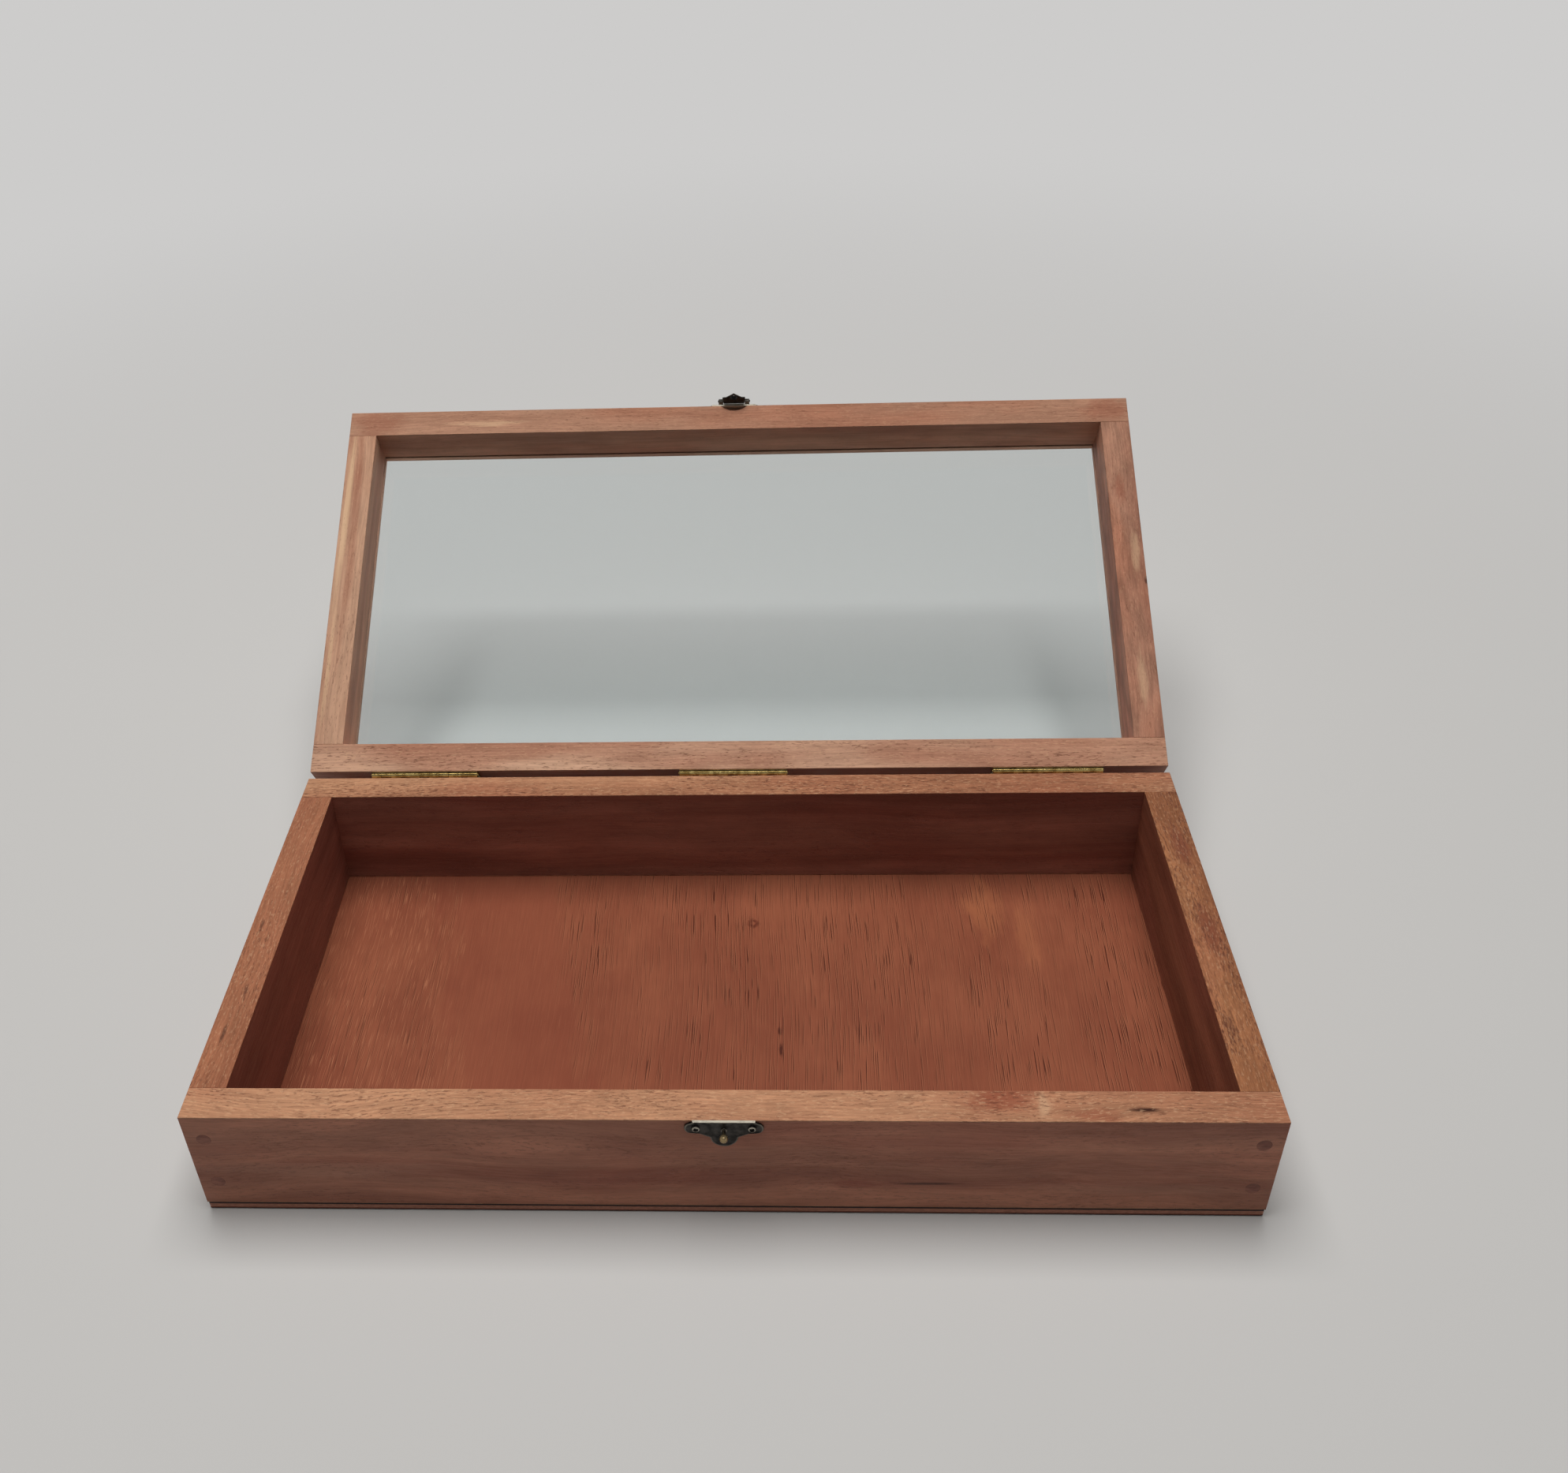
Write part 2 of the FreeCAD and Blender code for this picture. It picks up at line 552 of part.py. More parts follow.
def latch():
    """The latch plate with its two knuckles, the pin, the screws and the flap that snaps on the stud."""
    lid_face = on_lid(stand(y="-case_depth / 2", z=LID_BASE))
    plate = stamped_plate("latch_plate", lid_face, "latch_rise", 1)
    pin_centre = [("-latch_pin_out", "-latch_pin_drop")]
    for name, side in (("Right", 1), ("Left", -1)):
        lift = f"{side} * (flap_half + latch_knuckle_gap)"
        web = sketch_on(plate, f"{name}WebSection", "YZ_Plane", lift=lift)
        outline(web, [
            ("0", "latch_rise"),
            ("-latch_pin_out + latch_barrel", "web_low"),
            ("-latch_pin_out", "-latch_pin_drop"),
            ("-latch_pin_out", "latch_barrel - latch_pin_drop"),
            ("-plate_thick", "web_high"),
            ("0", "web_high"),
        ])
        pad(plate, f"{name}Web", web, "latch_knuckle", back=side < 0)
        ring = sketch_on(plate, f"{name}KnuckleSection", "YZ_Plane", lift=lift)
        rounds(ring, pin_centre, "2 * latch_barrel")
        pad(plate, f"{name}Knuckle", ring, "latch_knuckle", back=side < 0)
    lip = sketch_on(plate, "LipFace", "XZ_Plane")
    block(lip, "2 * flap_half", "latch_rise", "latch_rise + latch_lip_height")
    pad(plate, "Lip", lip, "plate_thick + latch_lip")
    half_pin = "(flap_half + latch_knuckle_gap + latch_knuckle)"
    eye = sketch_on(plate, "Eye", "YZ_Plane", lift=f"-2 * {half_pin}")
    rounds(eye, pin_centre, "2 * (latch_pin_radius + fit)")
    pocket(plate, "PinBore", eye, f"4 * {half_pin}", along=True)
    pan_screws("latch_screws", lid_face, mirrored(("pan_place", "latch_rise + ear_drop")))

    pin_line = on_lid(stand(y="-case_depth / 2 - latch_pin_out", z=f"{LID_BASE} - latch_pin_drop"))
    pin = new_piece("latch_pin", pin_line)
    end = sketch_on(pin, "End", "YZ_Plane", lift=f"-{half_pin} - pin_end")
    rounds(end, [("0", "0")], "2 * latch_pin_radius")
    ease(pin, pad(pin, "Rod", end, f"2 * ({half_pin} + pin_end)"))

    flap = new_piece("latch_flap", pin_line)
    right = [
        ("flap_half", "0"),
        ("flap_half", "-flap_neck"),
        ("shoulder_half", "-flap_neck"),
        ("shoulder_half", "-shoulder_drop"),
        ("eave_half", "-shoulder_drop"),
    ]
    left = [(f"-{x}", y) for x, y in reversed(right)]
    face = sketch_on(flap, "FlapFace", "XZ_Plane", lift="-flap_back")
    outline(face, right + [("0", "-tip_drop")] + left)
    pad(flap, "Leaf", face, "flap_thick")
    ring = sketch_on(flap, "BarrelSection", "YZ_Plane", lift="-flap_half")
    rounds(ring, [("0", "0")], "2 * latch_barrel")
    pad(flap, "Barrel", ring, "2 * flap_half")
    # a hood stands on the pin's side of the snap hole, slanting down to the leaf, and the ball goes in under it
    through = "flap_thick + snap_hood_height"
    hood = sketch_on(flap, "HoodRing", "XZ_Plane", lift="-flap_back")
    rounds(hood, [("0", "-snap_hole_drop")], "snap_hood_dia")
    pad(flap, "Hood", hood, through)
    leaf_front = "flap_back - flap_thick"
    hood_top = f"{leaf_front} - snap_hood_height"
    tip_end = "-snap_hole_drop - snap_hood_dia"
    mouth = sketch_on(flap, "HoodMouth", "YZ_Plane", lift="-snap_hood_dia")
    outline(mouth, [
        (leaf_front, tip_end),
        (leaf_front, "hood_mouth_low - snap_hole_drop"),
        (hood_top, "hood_mouth_high - snap_hole_drop"),
        (hood_top, tip_end),
    ])
    pocket(flap, "HoodOpening", mouth, "2 * snap_hood_dia", along=True)
    hole = sketch_on(flap, "SnapRing", "XZ_Plane", lift="-flap_back")
    rounds(hole, [("0", "-snap_hole_drop")], "snap_hole_dia")
    pocket(flap, "SnapHole", hole, through, along=True)
    eye = sketch_on(flap, "Eye", "YZ_Plane", lift=f"-2 * {half_pin}")
    rounds(eye, [("0", "0")], "2 * (latch_pin_radius + pin_play)")
    pocket(flap, "PinBore", eye, f"4 * {half_pin}", along=True)


def check_pieces():
    doc.recompute()
    failed = [item.Name for item in doc.Objects if {"Invalid", "Error"} & set(item.State)]
    broken = [piece.Label for piece in pieces if piece.Shape.isNull() or not piece.Shape.isValid()]
    if failed or broken:
        raise RuntimeError(f"failed features {failed}, broken shapes {broken}")


def write_pieces():
    os.makedirs("parts", exist_ok=True)
    for piece in pieces:
        piece.Shape.exportStep(f"parts/{piece.Label}.step")
        print(f"{piece.Label}: {len(piece.Shape.Solids)} solids, {piece.Shape.Volume:.0f} mm3")


make_sheet()
case_boards()
bottom_panel()
lid_frame()
hinges()
latch()
check_pieces()
write_pieces()
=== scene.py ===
import bpy
import json
import math
import numpy as np
from mathutils import Matrix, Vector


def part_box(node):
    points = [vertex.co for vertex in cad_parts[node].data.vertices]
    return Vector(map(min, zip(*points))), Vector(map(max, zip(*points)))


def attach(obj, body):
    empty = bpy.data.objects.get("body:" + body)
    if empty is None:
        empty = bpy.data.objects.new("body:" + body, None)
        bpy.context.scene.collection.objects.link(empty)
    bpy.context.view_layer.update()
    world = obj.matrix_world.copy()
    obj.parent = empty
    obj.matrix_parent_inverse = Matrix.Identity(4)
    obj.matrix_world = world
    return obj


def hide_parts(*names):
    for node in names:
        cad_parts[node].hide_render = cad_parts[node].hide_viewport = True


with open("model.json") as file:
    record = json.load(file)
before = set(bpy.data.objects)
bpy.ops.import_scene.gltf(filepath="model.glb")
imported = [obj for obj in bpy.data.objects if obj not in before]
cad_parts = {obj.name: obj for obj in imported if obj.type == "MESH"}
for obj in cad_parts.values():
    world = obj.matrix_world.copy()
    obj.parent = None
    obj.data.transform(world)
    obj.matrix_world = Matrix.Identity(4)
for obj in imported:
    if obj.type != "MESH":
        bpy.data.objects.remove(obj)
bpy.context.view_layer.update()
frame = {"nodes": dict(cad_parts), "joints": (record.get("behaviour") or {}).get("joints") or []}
nodes = frame["nodes"]
scene = bpy.context.scene
scene.view_settings.view_transform = "Standard"
print("frame:", len(nodes), "nodes")

# the hinge line, and how far the lid is turned back from shut
lidJoint = next(joint for joint in frame["joints"] if joint["name"] == "lid_hinge")
hingeLine = np.array(lidJoint["pos_m"])
lidTurn = math.radians(-lidJoint["range_deg"][0])

# camera in front of the case and above it, looking down into the tray
eyeSetup = {
    "place": (0.02459, -0.5873, 0.6231),
    "yaw": -3.716,
    "pitch": -36.21,
    "roll": -2.69,
    "lens": 35.23,
    "shift": (0.0574, -0.0018),
    "clip": (0.01, 40),
}


def setEye(setup):
    yaw, pitch, roll = (math.radians(setup[key]) for key in ("yaw", "pitch", "roll"))
    ahead = np.array([math.sin(yaw) * math.cos(pitch), math.cos(yaw) * math.cos(pitch), math.sin(pitch)])
    level = np.array([math.cos(yaw), -math.sin(yaw), 0])
    above = np.cross(level, ahead)
    right = level * math.cos(roll) + above * math.sin(roll)
    up = above * math.cos(roll) - level * math.sin(roll)
    lens = bpy.data.cameras.new("eye")
    lens.lens = setup["lens"]
    lens.shift_x, lens.shift_y = setup["shift"]
    lens.clip_start, lens.clip_end = setup["clip"]
    eye = bpy.data.objects.new("eye", lens)
    scene.collection.objects.link(eye)
    turned = np.eye(4)
    turned[:3] = np.column_stack([right, up, -ahead, setup["place"]])
    eye.matrix_world = Matrix(turned.tolist())
    scene.camera = eye


# node helpers

def newFinish(name):
    finish = bpy.data.materials.new(name)
    finish.use_nodes = True
    finish.node_tree.nodes.clear()
    return finish, finish.node_tree


# adds a node, sets its options, then fills or links its sockets
def put(tree, kind, sockets=None, **options):
    node = tree.nodes.new("ShaderNode" + kind)
    for key, value in options.items():
        setattr(node, key, value)
    for key, value in (sockets or {}).items():
        if isinstance(value, bpy.types.NodeSocket):
            tree.links.new(value, node.inputs[key])
        else:
            node.inputs[key].default_value = value
    return node


# colour as seen, 0 to 255, turned by the sRGB curve to linear light for a socket
def tone(r, g, b):
    seen = np.array([r, g, b]) / 255
    linear = np.where(seen <= 0.04045, seen / 12.92, ((seen + 0.055) / 1.055) ** 2.4)
    return (*linear.tolist(), 1.0)


# a noise is written as its cells per metre along x, y and z, its detail, its roughness and a step;
# the piece's seed and the step move it away from the others
seedMove = np.array([3.1, 1.7, 2.3])


def speckle(tree, here, noise, seed, out=0):
    pitch, detail, rough, step = noise
    moved = ((seed + step) * seedMove).tolist()
    spot = put(tree, "Mapping", {"Vector": here, "Scale": pitch, "Location": moved}).outputs[0]
    sockets = {"Vector": spot, "Scale": 1.0, "Detail": detail, "Roughness": rough}
    return put(tree, "TexNoise", sockets).outputs[out]


# soft step of a value from low to high, given out between the two ends of to
def ease(tree, value, low, high, to=(0.0, 1.0)):
    sockets = {"Value": value, "From Min": low, "From Max": high, "To Min": to[0], "To Max": to[1]}
    return put(tree, "MapRange", sockets, interpolation_type="SMOOTHSTEP").outputs[0]


def blend(tree, share, first, second, how="MIX"):
    return put(tree, "Mix", {0: share, 6: first, 7: second}, data_type="RGBA", blend_type=how).outputs[2]


def sums(tree, how, first, second=0.0, third=0.0):
    return put(tree, "Math", {0: first, 1: second, 2: third}, operation=how).outputs[0]


def vectors(tree, how, first, second=(0, 0, 0), third=(0, 0, 0), out=0):
    return put(tree, "VectorMath", {0: first, 1: second, 2: third}, operation=how).outputs[out]


# a colour made lighter or darker by one number
def shaded(tree, colour, factor):
    grey = put(tree, "CombineXYZ", {0: factor, 1: factor, 2: factor}).outputs[0]
    return blend(tree, 1.0, colour, grey, "MULTIPLY")


def objectSpot(tree):
    return put(tree, "TexCoord").outputs["Object"]


def show(tree, shader):
    put(tree, "OutputMaterial", {"Surface": shader.outputs[0]})


# ends a finish with a bumped surface that has the sockets it is given
def showSurface(tree, look, height, sockets):
    strength, depth = look["bump"]
    bump = put(tree, "Bump", {"Height": height, "Strength": strength, "Distance": depth}).outputs[0]
    show(tree, put(tree, "BsdfPrincipled", {**sockets, "Normal": bump}))


def dress(names, finish):
    for name in names:
        mesh = nodes[name].data
        mesh.materials.clear()
        mesh.materials.append(finish)


# floor and world
stageSetup = {
    "floorSize": 14.0,
    "floorDrop": 0.0004,
    "floorSeen": tone(202, 200, 197),
    "floorBounce": tone(172, 171, 169),
    "fade": (0.45, 1.7),
    "worldSeen": tone(205, 204, 203),
    "worldHigh": tone(70, 71, 73),
    "worldRise": (0.25, 0.9),
    "worldLight": (0.04, 0.04, 0.04, 1.0),
}


# 1 for the rays that look at a thing, straight, mirrored or through glass;
# 0 once a ray carries light between surfaces
def lookingRay(tree):
    path = put(tree, "LightPath").outputs
    mirrored = sums(tree, "MAXIMUM", path["Is Camera Ray"], path["Is Glossy Ray"])
    looking = sums(tree, "MAXIMUM", mirrored, path["Is Transmission Ray"])
    unbounced = sums(tree, "LESS_THAN", path["Diffuse Depth"], 0.5)  # the depth is a whole number
    return sums(tree, "MULTIPLY", looking, unbounced)


def setFloor(setup):
    half, low = setup["floorSize"] / 2, -setup["floorDrop"]
    corners = [(-half, -half, low), (half, -half, low), (half, half, low), (-half, half, low)]
    mesh = bpy.data.meshes.new("floor")
    mesh.from_pydata(corners, [], [(0, 1, 2, 3)])
    floor = bpy.data.objects.new("floor", mesh)
    scene.collection.objects.link(floor)
    finish, tree = newFinish("paleFloor")
    looking = lookingRay(tree)
    seen = blend(tree, looking, setup["floorBounce"], setup["floorSeen"])
    near = put(tree, "BsdfDiffuse", {"Color": seen}).outputs[0]
    # far from the case the floor passes into the pale background without a horizon
    far = put(tree, "Emission", {"Color": setup["worldSeen"]}).outputs[0]
    away = ease(tree, vectors(tree, "LENGTH", objectSpot(tree), out=1), *setup["fade"])
    show(tree, put(tree, "MixShader", {0: sums(tree, "MULTIPLY", away, looking), 1: near, 2: far}))
    mesh.materials.append(finish)


def setWorld(setup):
    world = bpy.data.worlds.new("studio")
    world.use_nodes = True
    scene.world = world
    tree = world.node_tree
    tree.nodes.clear()
    height = put(tree, "SeparateXYZ", {0: put(tree, "TexCoord").outputs["Generated"]}).outputs[2]
    dome = blend(tree, ease(tree, height, *setup["worldRise"]), setup["worldSeen"], setup["worldHigh"])
    light = blend(tree, lookingRay(tree), setup["worldLight"], dome)
    put(tree, "OutputWorld", {"Surface": put(tree, "Background", {"Color": light}).outputs[0]})


# the pane would mirror the panel as a white sheet; the strip shows in metal and satin wood only
lamps = {
    "ceilingPanel": {"size": (2.1, 2.1), "place": (-0.15, 0.35, 3.0), "power": 95, "hide": "visible_glossy"},
    "shineStrip": {"size": (2.4, 0.35), "place": (0, -0.75, 2.5), "power": 14, "hide": "visible_diffuse"},
}


def hangLamp(name, setup):
    lamp = bpy.data.lights.new(name, "AREA")
    lamp.shape = "RECTANGLE"
    lamp.size, lamp.size_y = setup["size"]
    lamp.energy = setup["power"]
    hung = bpy.data.objects.new(name, lamp)
    hung.location = setup["place"]
    hung.visible_transmission = False  # its light passes the pane as shadow rays, and is not counted twice
    setattr(hung, setup["hide"], False)
    scene.collection.objects.link(hung)


setEye(eyeSetup)
setFloor(stageSetup)
setWorld(stageSetup)
for lampName, lampSetup in lamps.items():
    hangLamp(lampName, lampSetup)
print("stage: camera, floor, world, a soft panel and a strip")


# a board's own axes from Object coordinates: the lid shut, x along the grain, the board's middle at 0;
# also gives the quarter turn that brings the grain to x
def ownAxes(tree, middle, along, onLid):
    tilt = lidTurn if onLid else 0
    swing = -math.pi / 2 if along == "y" else 0
    shut = np.array(Matrix.Rotation(tilt, 3, "X"))
    quarter = np.array(Matrix.Rotation(swing, 3, "Z"))
    shift = quarter @ (hingeLine - shut @ hingeLine - middle)
    sockets = {"Vector": objectSpot(tree), "Rotation": (tilt, 0, swing), "Location": shift.tolist()}
    return put(tree, "Mapping", sockets).outputs[0], quarter


# marks in wood: ellipsoids whose edge is torn by noise in proportion to their reach.
# Each is its middle with the lid shut, its reach along the grain, across and up, its tone and share,
# and where it needs one a tear of its own
markLook = {
    "noise": ((1.3, 1.3, 1.3), 4.0, 0.65, 0),
    "seedPitch": 90,
    "tear": 1.7,
    "edge": (1.15, 0.25),
}


def stained(tree, colour, board, middle, quarter, look):
    for at, reach, stain, share, *ownTear in look.get("marks", ()):
        tear = ownTear[0] if ownTear else markLook["tear"]
        scale = 1 / np.array(reach)
        spot = quarter @ (np.array(at) - middle) * scale
        sockets = {"Vector": board, "Scale": scale.tolist(), "Location": (-spot).tolist()}
        near = put(tree, "Mapping", sockets).outputs[0]
        torn = speckle(tree, near, markLook["noise"], look["seed"] + at[0] * markLook["seedPitch"])
        away = sums(tree, "SUBTRACT", vectors(tree, "LENGTH", near, out=1), tear / 2)
        edge = sums(tree, "MULTIPLY_ADD", torn, tear, away)
        colour = blend(tree, ease(tree, edge, *markLook["edge"], (0.0, share)), colour, stain)
    return colour


# stained boards. A pair of shares is for the planed faces and for the sawn upper and lower edges
boardLook = {
    "light": tone(192, 141, 107),
    "dark": tone(166, 113, 84),
    "thick": 0.018,
    "faceDepth": 0.0005,
    "sawnDepth": (0.0009, 0.0003),
    "wander": 0.016,
    "wanderNoise": ((5, 13, 13), 2.0, 0.5, 0),
    "pith": (0.0, 0.055, -0.09),
    "ringNoise": ((1.5, 62.0, 1), 3.0, 0.55, 0),
    "ringBand": (0.34, 0.66),
    "patch": tone(162, 100, 74),
    "patchNoise": ((9, 28, 28), 2.0, 0.5, 2),
    "patchBand": (0.47, 0.68),
    "patchShare": 0.4,
    "fibreNoise": ((26, 950, 950), 3.0, 0.6, 4),
    "fibreBand": (0.28, 0.72),
    "fibreShare": (0.08, 0.18),
    "fibreLevel": 0.98,
    "waveNoise": ((7, 48, 48), 3.0, 0.55, 14),
    "waveBand": (0.34, 0.66),
    "waveShare": 0.14,
    "cloudNoise": ((34, 110, 110), 3.0, 0.6, 16),
    "cloudBand": (0.3, 0.7),
    "cloudShare": 0.07,
    "crowdNoise": ((16, 60, 60), 2.0, 0.5, 6),
    "crowdBand": (0.36, 0.62),
    "crowdShare": (0.3, 1.0),
    "pore": tone(100, 57, 40),
    "poreNoise": ((230, 1150, 1150), 3.0, 0.62, 8),
    "poreLow": 0.545,
    "poreSoft": 0.08,
    "poreShare": (0.3, 0.6),
    "fleck": tone(218, 174, 136),
    "fleckNoise": ((330, 1150, 1150), 3.0, 0.62, 10),
    "fleckLow": 0.545,
    "fleckSoft": 0.1,
    "fleckShare": (0.04, 0.36),
    "roughBand": (0.3, 0.7),
    "rough": (0.62, 0.46),
    "specular": 0.35,
    "fibreHeight": 0.5,
    "poreDepth": 0.8,
    "bump": (0.45, 0.0003),
}
caseLook = {
    "height": 0.03625,
    "half": 0.03125,
    # painted shade: the tray's inner faces are darkened and greyed
    "innerPaintedLight": (0.76, 0.67, 0.88, 1),
    "outerTint": (1.1, 0.9, 1.0, 1),
}
lidLook = {
    "height": 0.084,
    "half": 0.016,
    # painted light: the inner faces of the rails round the pane are lightened
    "innerPaintedLight": (1.55, 1.54, 1.58, 1),
    "outerTint": (1.05, 0.95, 1.0, 1),
    "patchShare": 0.5,
    "fibreShare": (0.07, 0.13),
    "poreLow": 0.58,
    "poreShare": (0.18, 0.4),
    "fleckShare": (0.02, 0.16),
}
dent = tone(74, 42, 32)
knot = tone(56, 27, 18)
redStain = tone(146, 80, 58)
brownStain = tone(122, 66, 46)
sapwood = tone(222, 184, 146)
boards = {
    "front_board": {
        "across": -0.119, "along": "x", "seed": 1.3, "wander": 0.034,
        "marks": [
            ((0.127, -0.115, 0.0675), (0.020, 0.008, 0.004), redStain, 0.85),
            ((0.146, -0.119, 0.0675), (0.004, 0.008, 0.004), sapwood, 0.4),
            ((0.168, -0.124, 0.0675), (0.016, 0.005, 0.004), redStain, 0.6),
            ((0.191, -0.121, 0.0675), (0.0095, 0.0017, 0.003), knot, 1.0, 0.7),
            ((0.094, -0.128, 0.0228), (0.020, 0.003, 0.0011), knot, 0.8, 1.0),
            ((0.062, -0.128, 0.0225), (0.014, 0.003, 0.004), redStain, 0.5),
            ((-0.19, -0.128, 0.031), (0.08, 0.003, 0.007), sapwood, 0.22),
            ((0.19, -0.128, 0.020), (0.07, 0.003, 0.005), sapwood, 0.16),
            ((0.22, -0.128, 0.058), (0.05, 0.003, 0.006), sapwood, 0.06),
            ((0.10, -0.128, 0.053), (0.10, 0.003, 0.006), redStain, 0.25),
            ((-0.03, -0.128, 0.028), (0.05, 0.003, 0.008), redStain, 0.25),
        ],
    },
    "back_board": {
        "across": 0.119, "along": "x", "seed": 7.9,
        "light": tone(188, 138, 104), "dark": tone(156, 104, 76),
        "poreLow": 0.53, "poreShare": (0.3, 0.8),
    },
    "left_board": {
        "across": -0.245, "along": "y", "seed": 3.6,
        "light": tone(162, 105, 76), "dark": tone(146, 90, 64),
        "poreLow": 0.565, "fleckShare": (0.05, 0.28),
        "marks": [
            ((-0.2485, 0.001, 0.0675), (0.006, 0.0011, 0.003), dent, 0.7),
            ((-0.2441, -0.047, 0.0675), (0.007, 0.0010, 0.003), dent, 0.6),
            ((-0.2472, -0.076, 0.0675), (0.008, 0.0012, 0.003), dent, 0.7),
        ],
    },
    "right_board": {
        "across": 0.245, "along": "y", "seed": 12.4,
        "light": tone(170, 114, 77), "dark": tone(136, 85, 56),
        "poreLow": 0.51, "poreShare": (0.3, 0.9), "fleckShare": (0.05, 0.24),
        "marks": [
            ((0.246, 0.062, 0.0675), (0.016, 0.006, 0.004), brownStain, 0.8),
            ((0.246, -0.003, 0.0675), (0.020, 0.006, 0.004), brownStain, 0.8),
            ((0.2411, -0.070, 0.0675), (0.012, 0.003, 0.003), dent, 0.4),
        ],
    },
    "lid_front_rail": {
        "across": -0.119, "along": "x", "seed": 21.7,
        "light": tone(190, 146, 119), "dark": tone(169, 123, 98),
        "marks": [
            ((-0.162, -0.118, 0.068), (0.026, 0.0026, 0.004), sapwood, 0.45, 2.4),
            ((-0.235, -0.119, 0.068), (0.02, 0.012, 0.004), redStain, 0.4),
            ((0.24, -0.119, 0.068), (0.018, 0.012, 0.004), redStain, 0.45),
        ],
    },
    "lid_back_rail": {
        "across": 0.119, "along": "x", "seed": 31.2,
        "light": tone(213, 170, 140), "dark": tone(183, 137, 111),
        "poreLow": 0.56, "poreShare": (0.1, 0.65), "fleckShare": (0.02, 0.3),
    },
    "lid_left_rail": {
        "across": -0.245, "along": "y", "seed": 41.8,
        "light": tone(194, 151, 123), "dark": tone(178, 131, 107),
        "marks": [
            ((-0.2505, -0.05, 0.068), (0.075, 0.0026, 0.004), sapwood, 0.75),
            ((-0.2505, 0.06, 0.068), (0.05, 0.0018, 0.004), sapwood, 0.5),
            ((-0.2445, -0.03, 0.068), (0.09, 0.004, 0.004), redStain, 0.4),
        ],
    },
    "lid_right_rail": {
        "across": 0.245, "along": "y", "seed": 55.1,
        "light": tone(174, 127, 103), "dark": tone(146, 99, 79), "cloudShare": 0.21,
        "marks": [
            ((0.2535, 0.006, 0.068), (0.004, 0.0014, 0.003), dent, 0.9),
            ((0.2435, -0.059, 0.068), (0.012, 0.004, 0.004), redStain, 0.5),
            ((0.249, -0.014, 0.068), (0.016, 0.0035, 0.004), sapwood, 0.4),
            ((0.245, 0.072, 0.068), (0.02, 0.003, 0.004), sapwood, 0.4),
        ],
    },
}


# growth rings, as noise over the distance from a pith outside the board, and patches of another tone
def ringColour(tree, bent, look):
    seed = look["seed"]
    offPith = vectors(tree, "MULTIPLY", vectors(tree, "SUBTRACT", bent, look["pith"]), (0, 1, 1))
    fromPith = vectors(tree, "LENGTH", offPith, out=1)
    alongGrain = put(tree, "SeparateXYZ", {0: bent}).outputs[0]
    rings = put(tree, "CombineXYZ", {0: alongGrain, 1: fromPith, 2: seed}).outputs[0]
    bands = ease(tree, speckle(tree, rings, look["ringNoise"], seed), *look["ringBand"])
    patches = ease(tree, speckle(tree, bent, look["patchNoise"], seed), *look["patchBand"])
    colour = blend(tree, bands, look["dark"], look["light"])
    return blend(tree, sums(tree, "MULTIPLY", patches, look["patchShare"]), colour, look["patch"])


# slow pale and dark waves that climb along the planed faces,
# and small clouds where the stain sank in unevenly
def figureShade(tree, bent, planed, look):
    waves = ease(tree, speckle(tree, bent, look["waveNoise"], look["seed"]), *look["waveBand"], (-1.0, 1.0))
    figure = sums(tree, "MULTIPLY_ADD", waves, sums(tree, "MULTIPLY", planed, look["waveShare"]), 1.0)
    ends = (1 - look["cloudShare"], 1 + look["cloudShare"])
    clouds = ease(tree, speckle(tree, bent, look["cloudNoise"], look["seed"]), *look["cloudBand"], ends)
    return sums(tree, "MULTIPLY", figure, clouds)


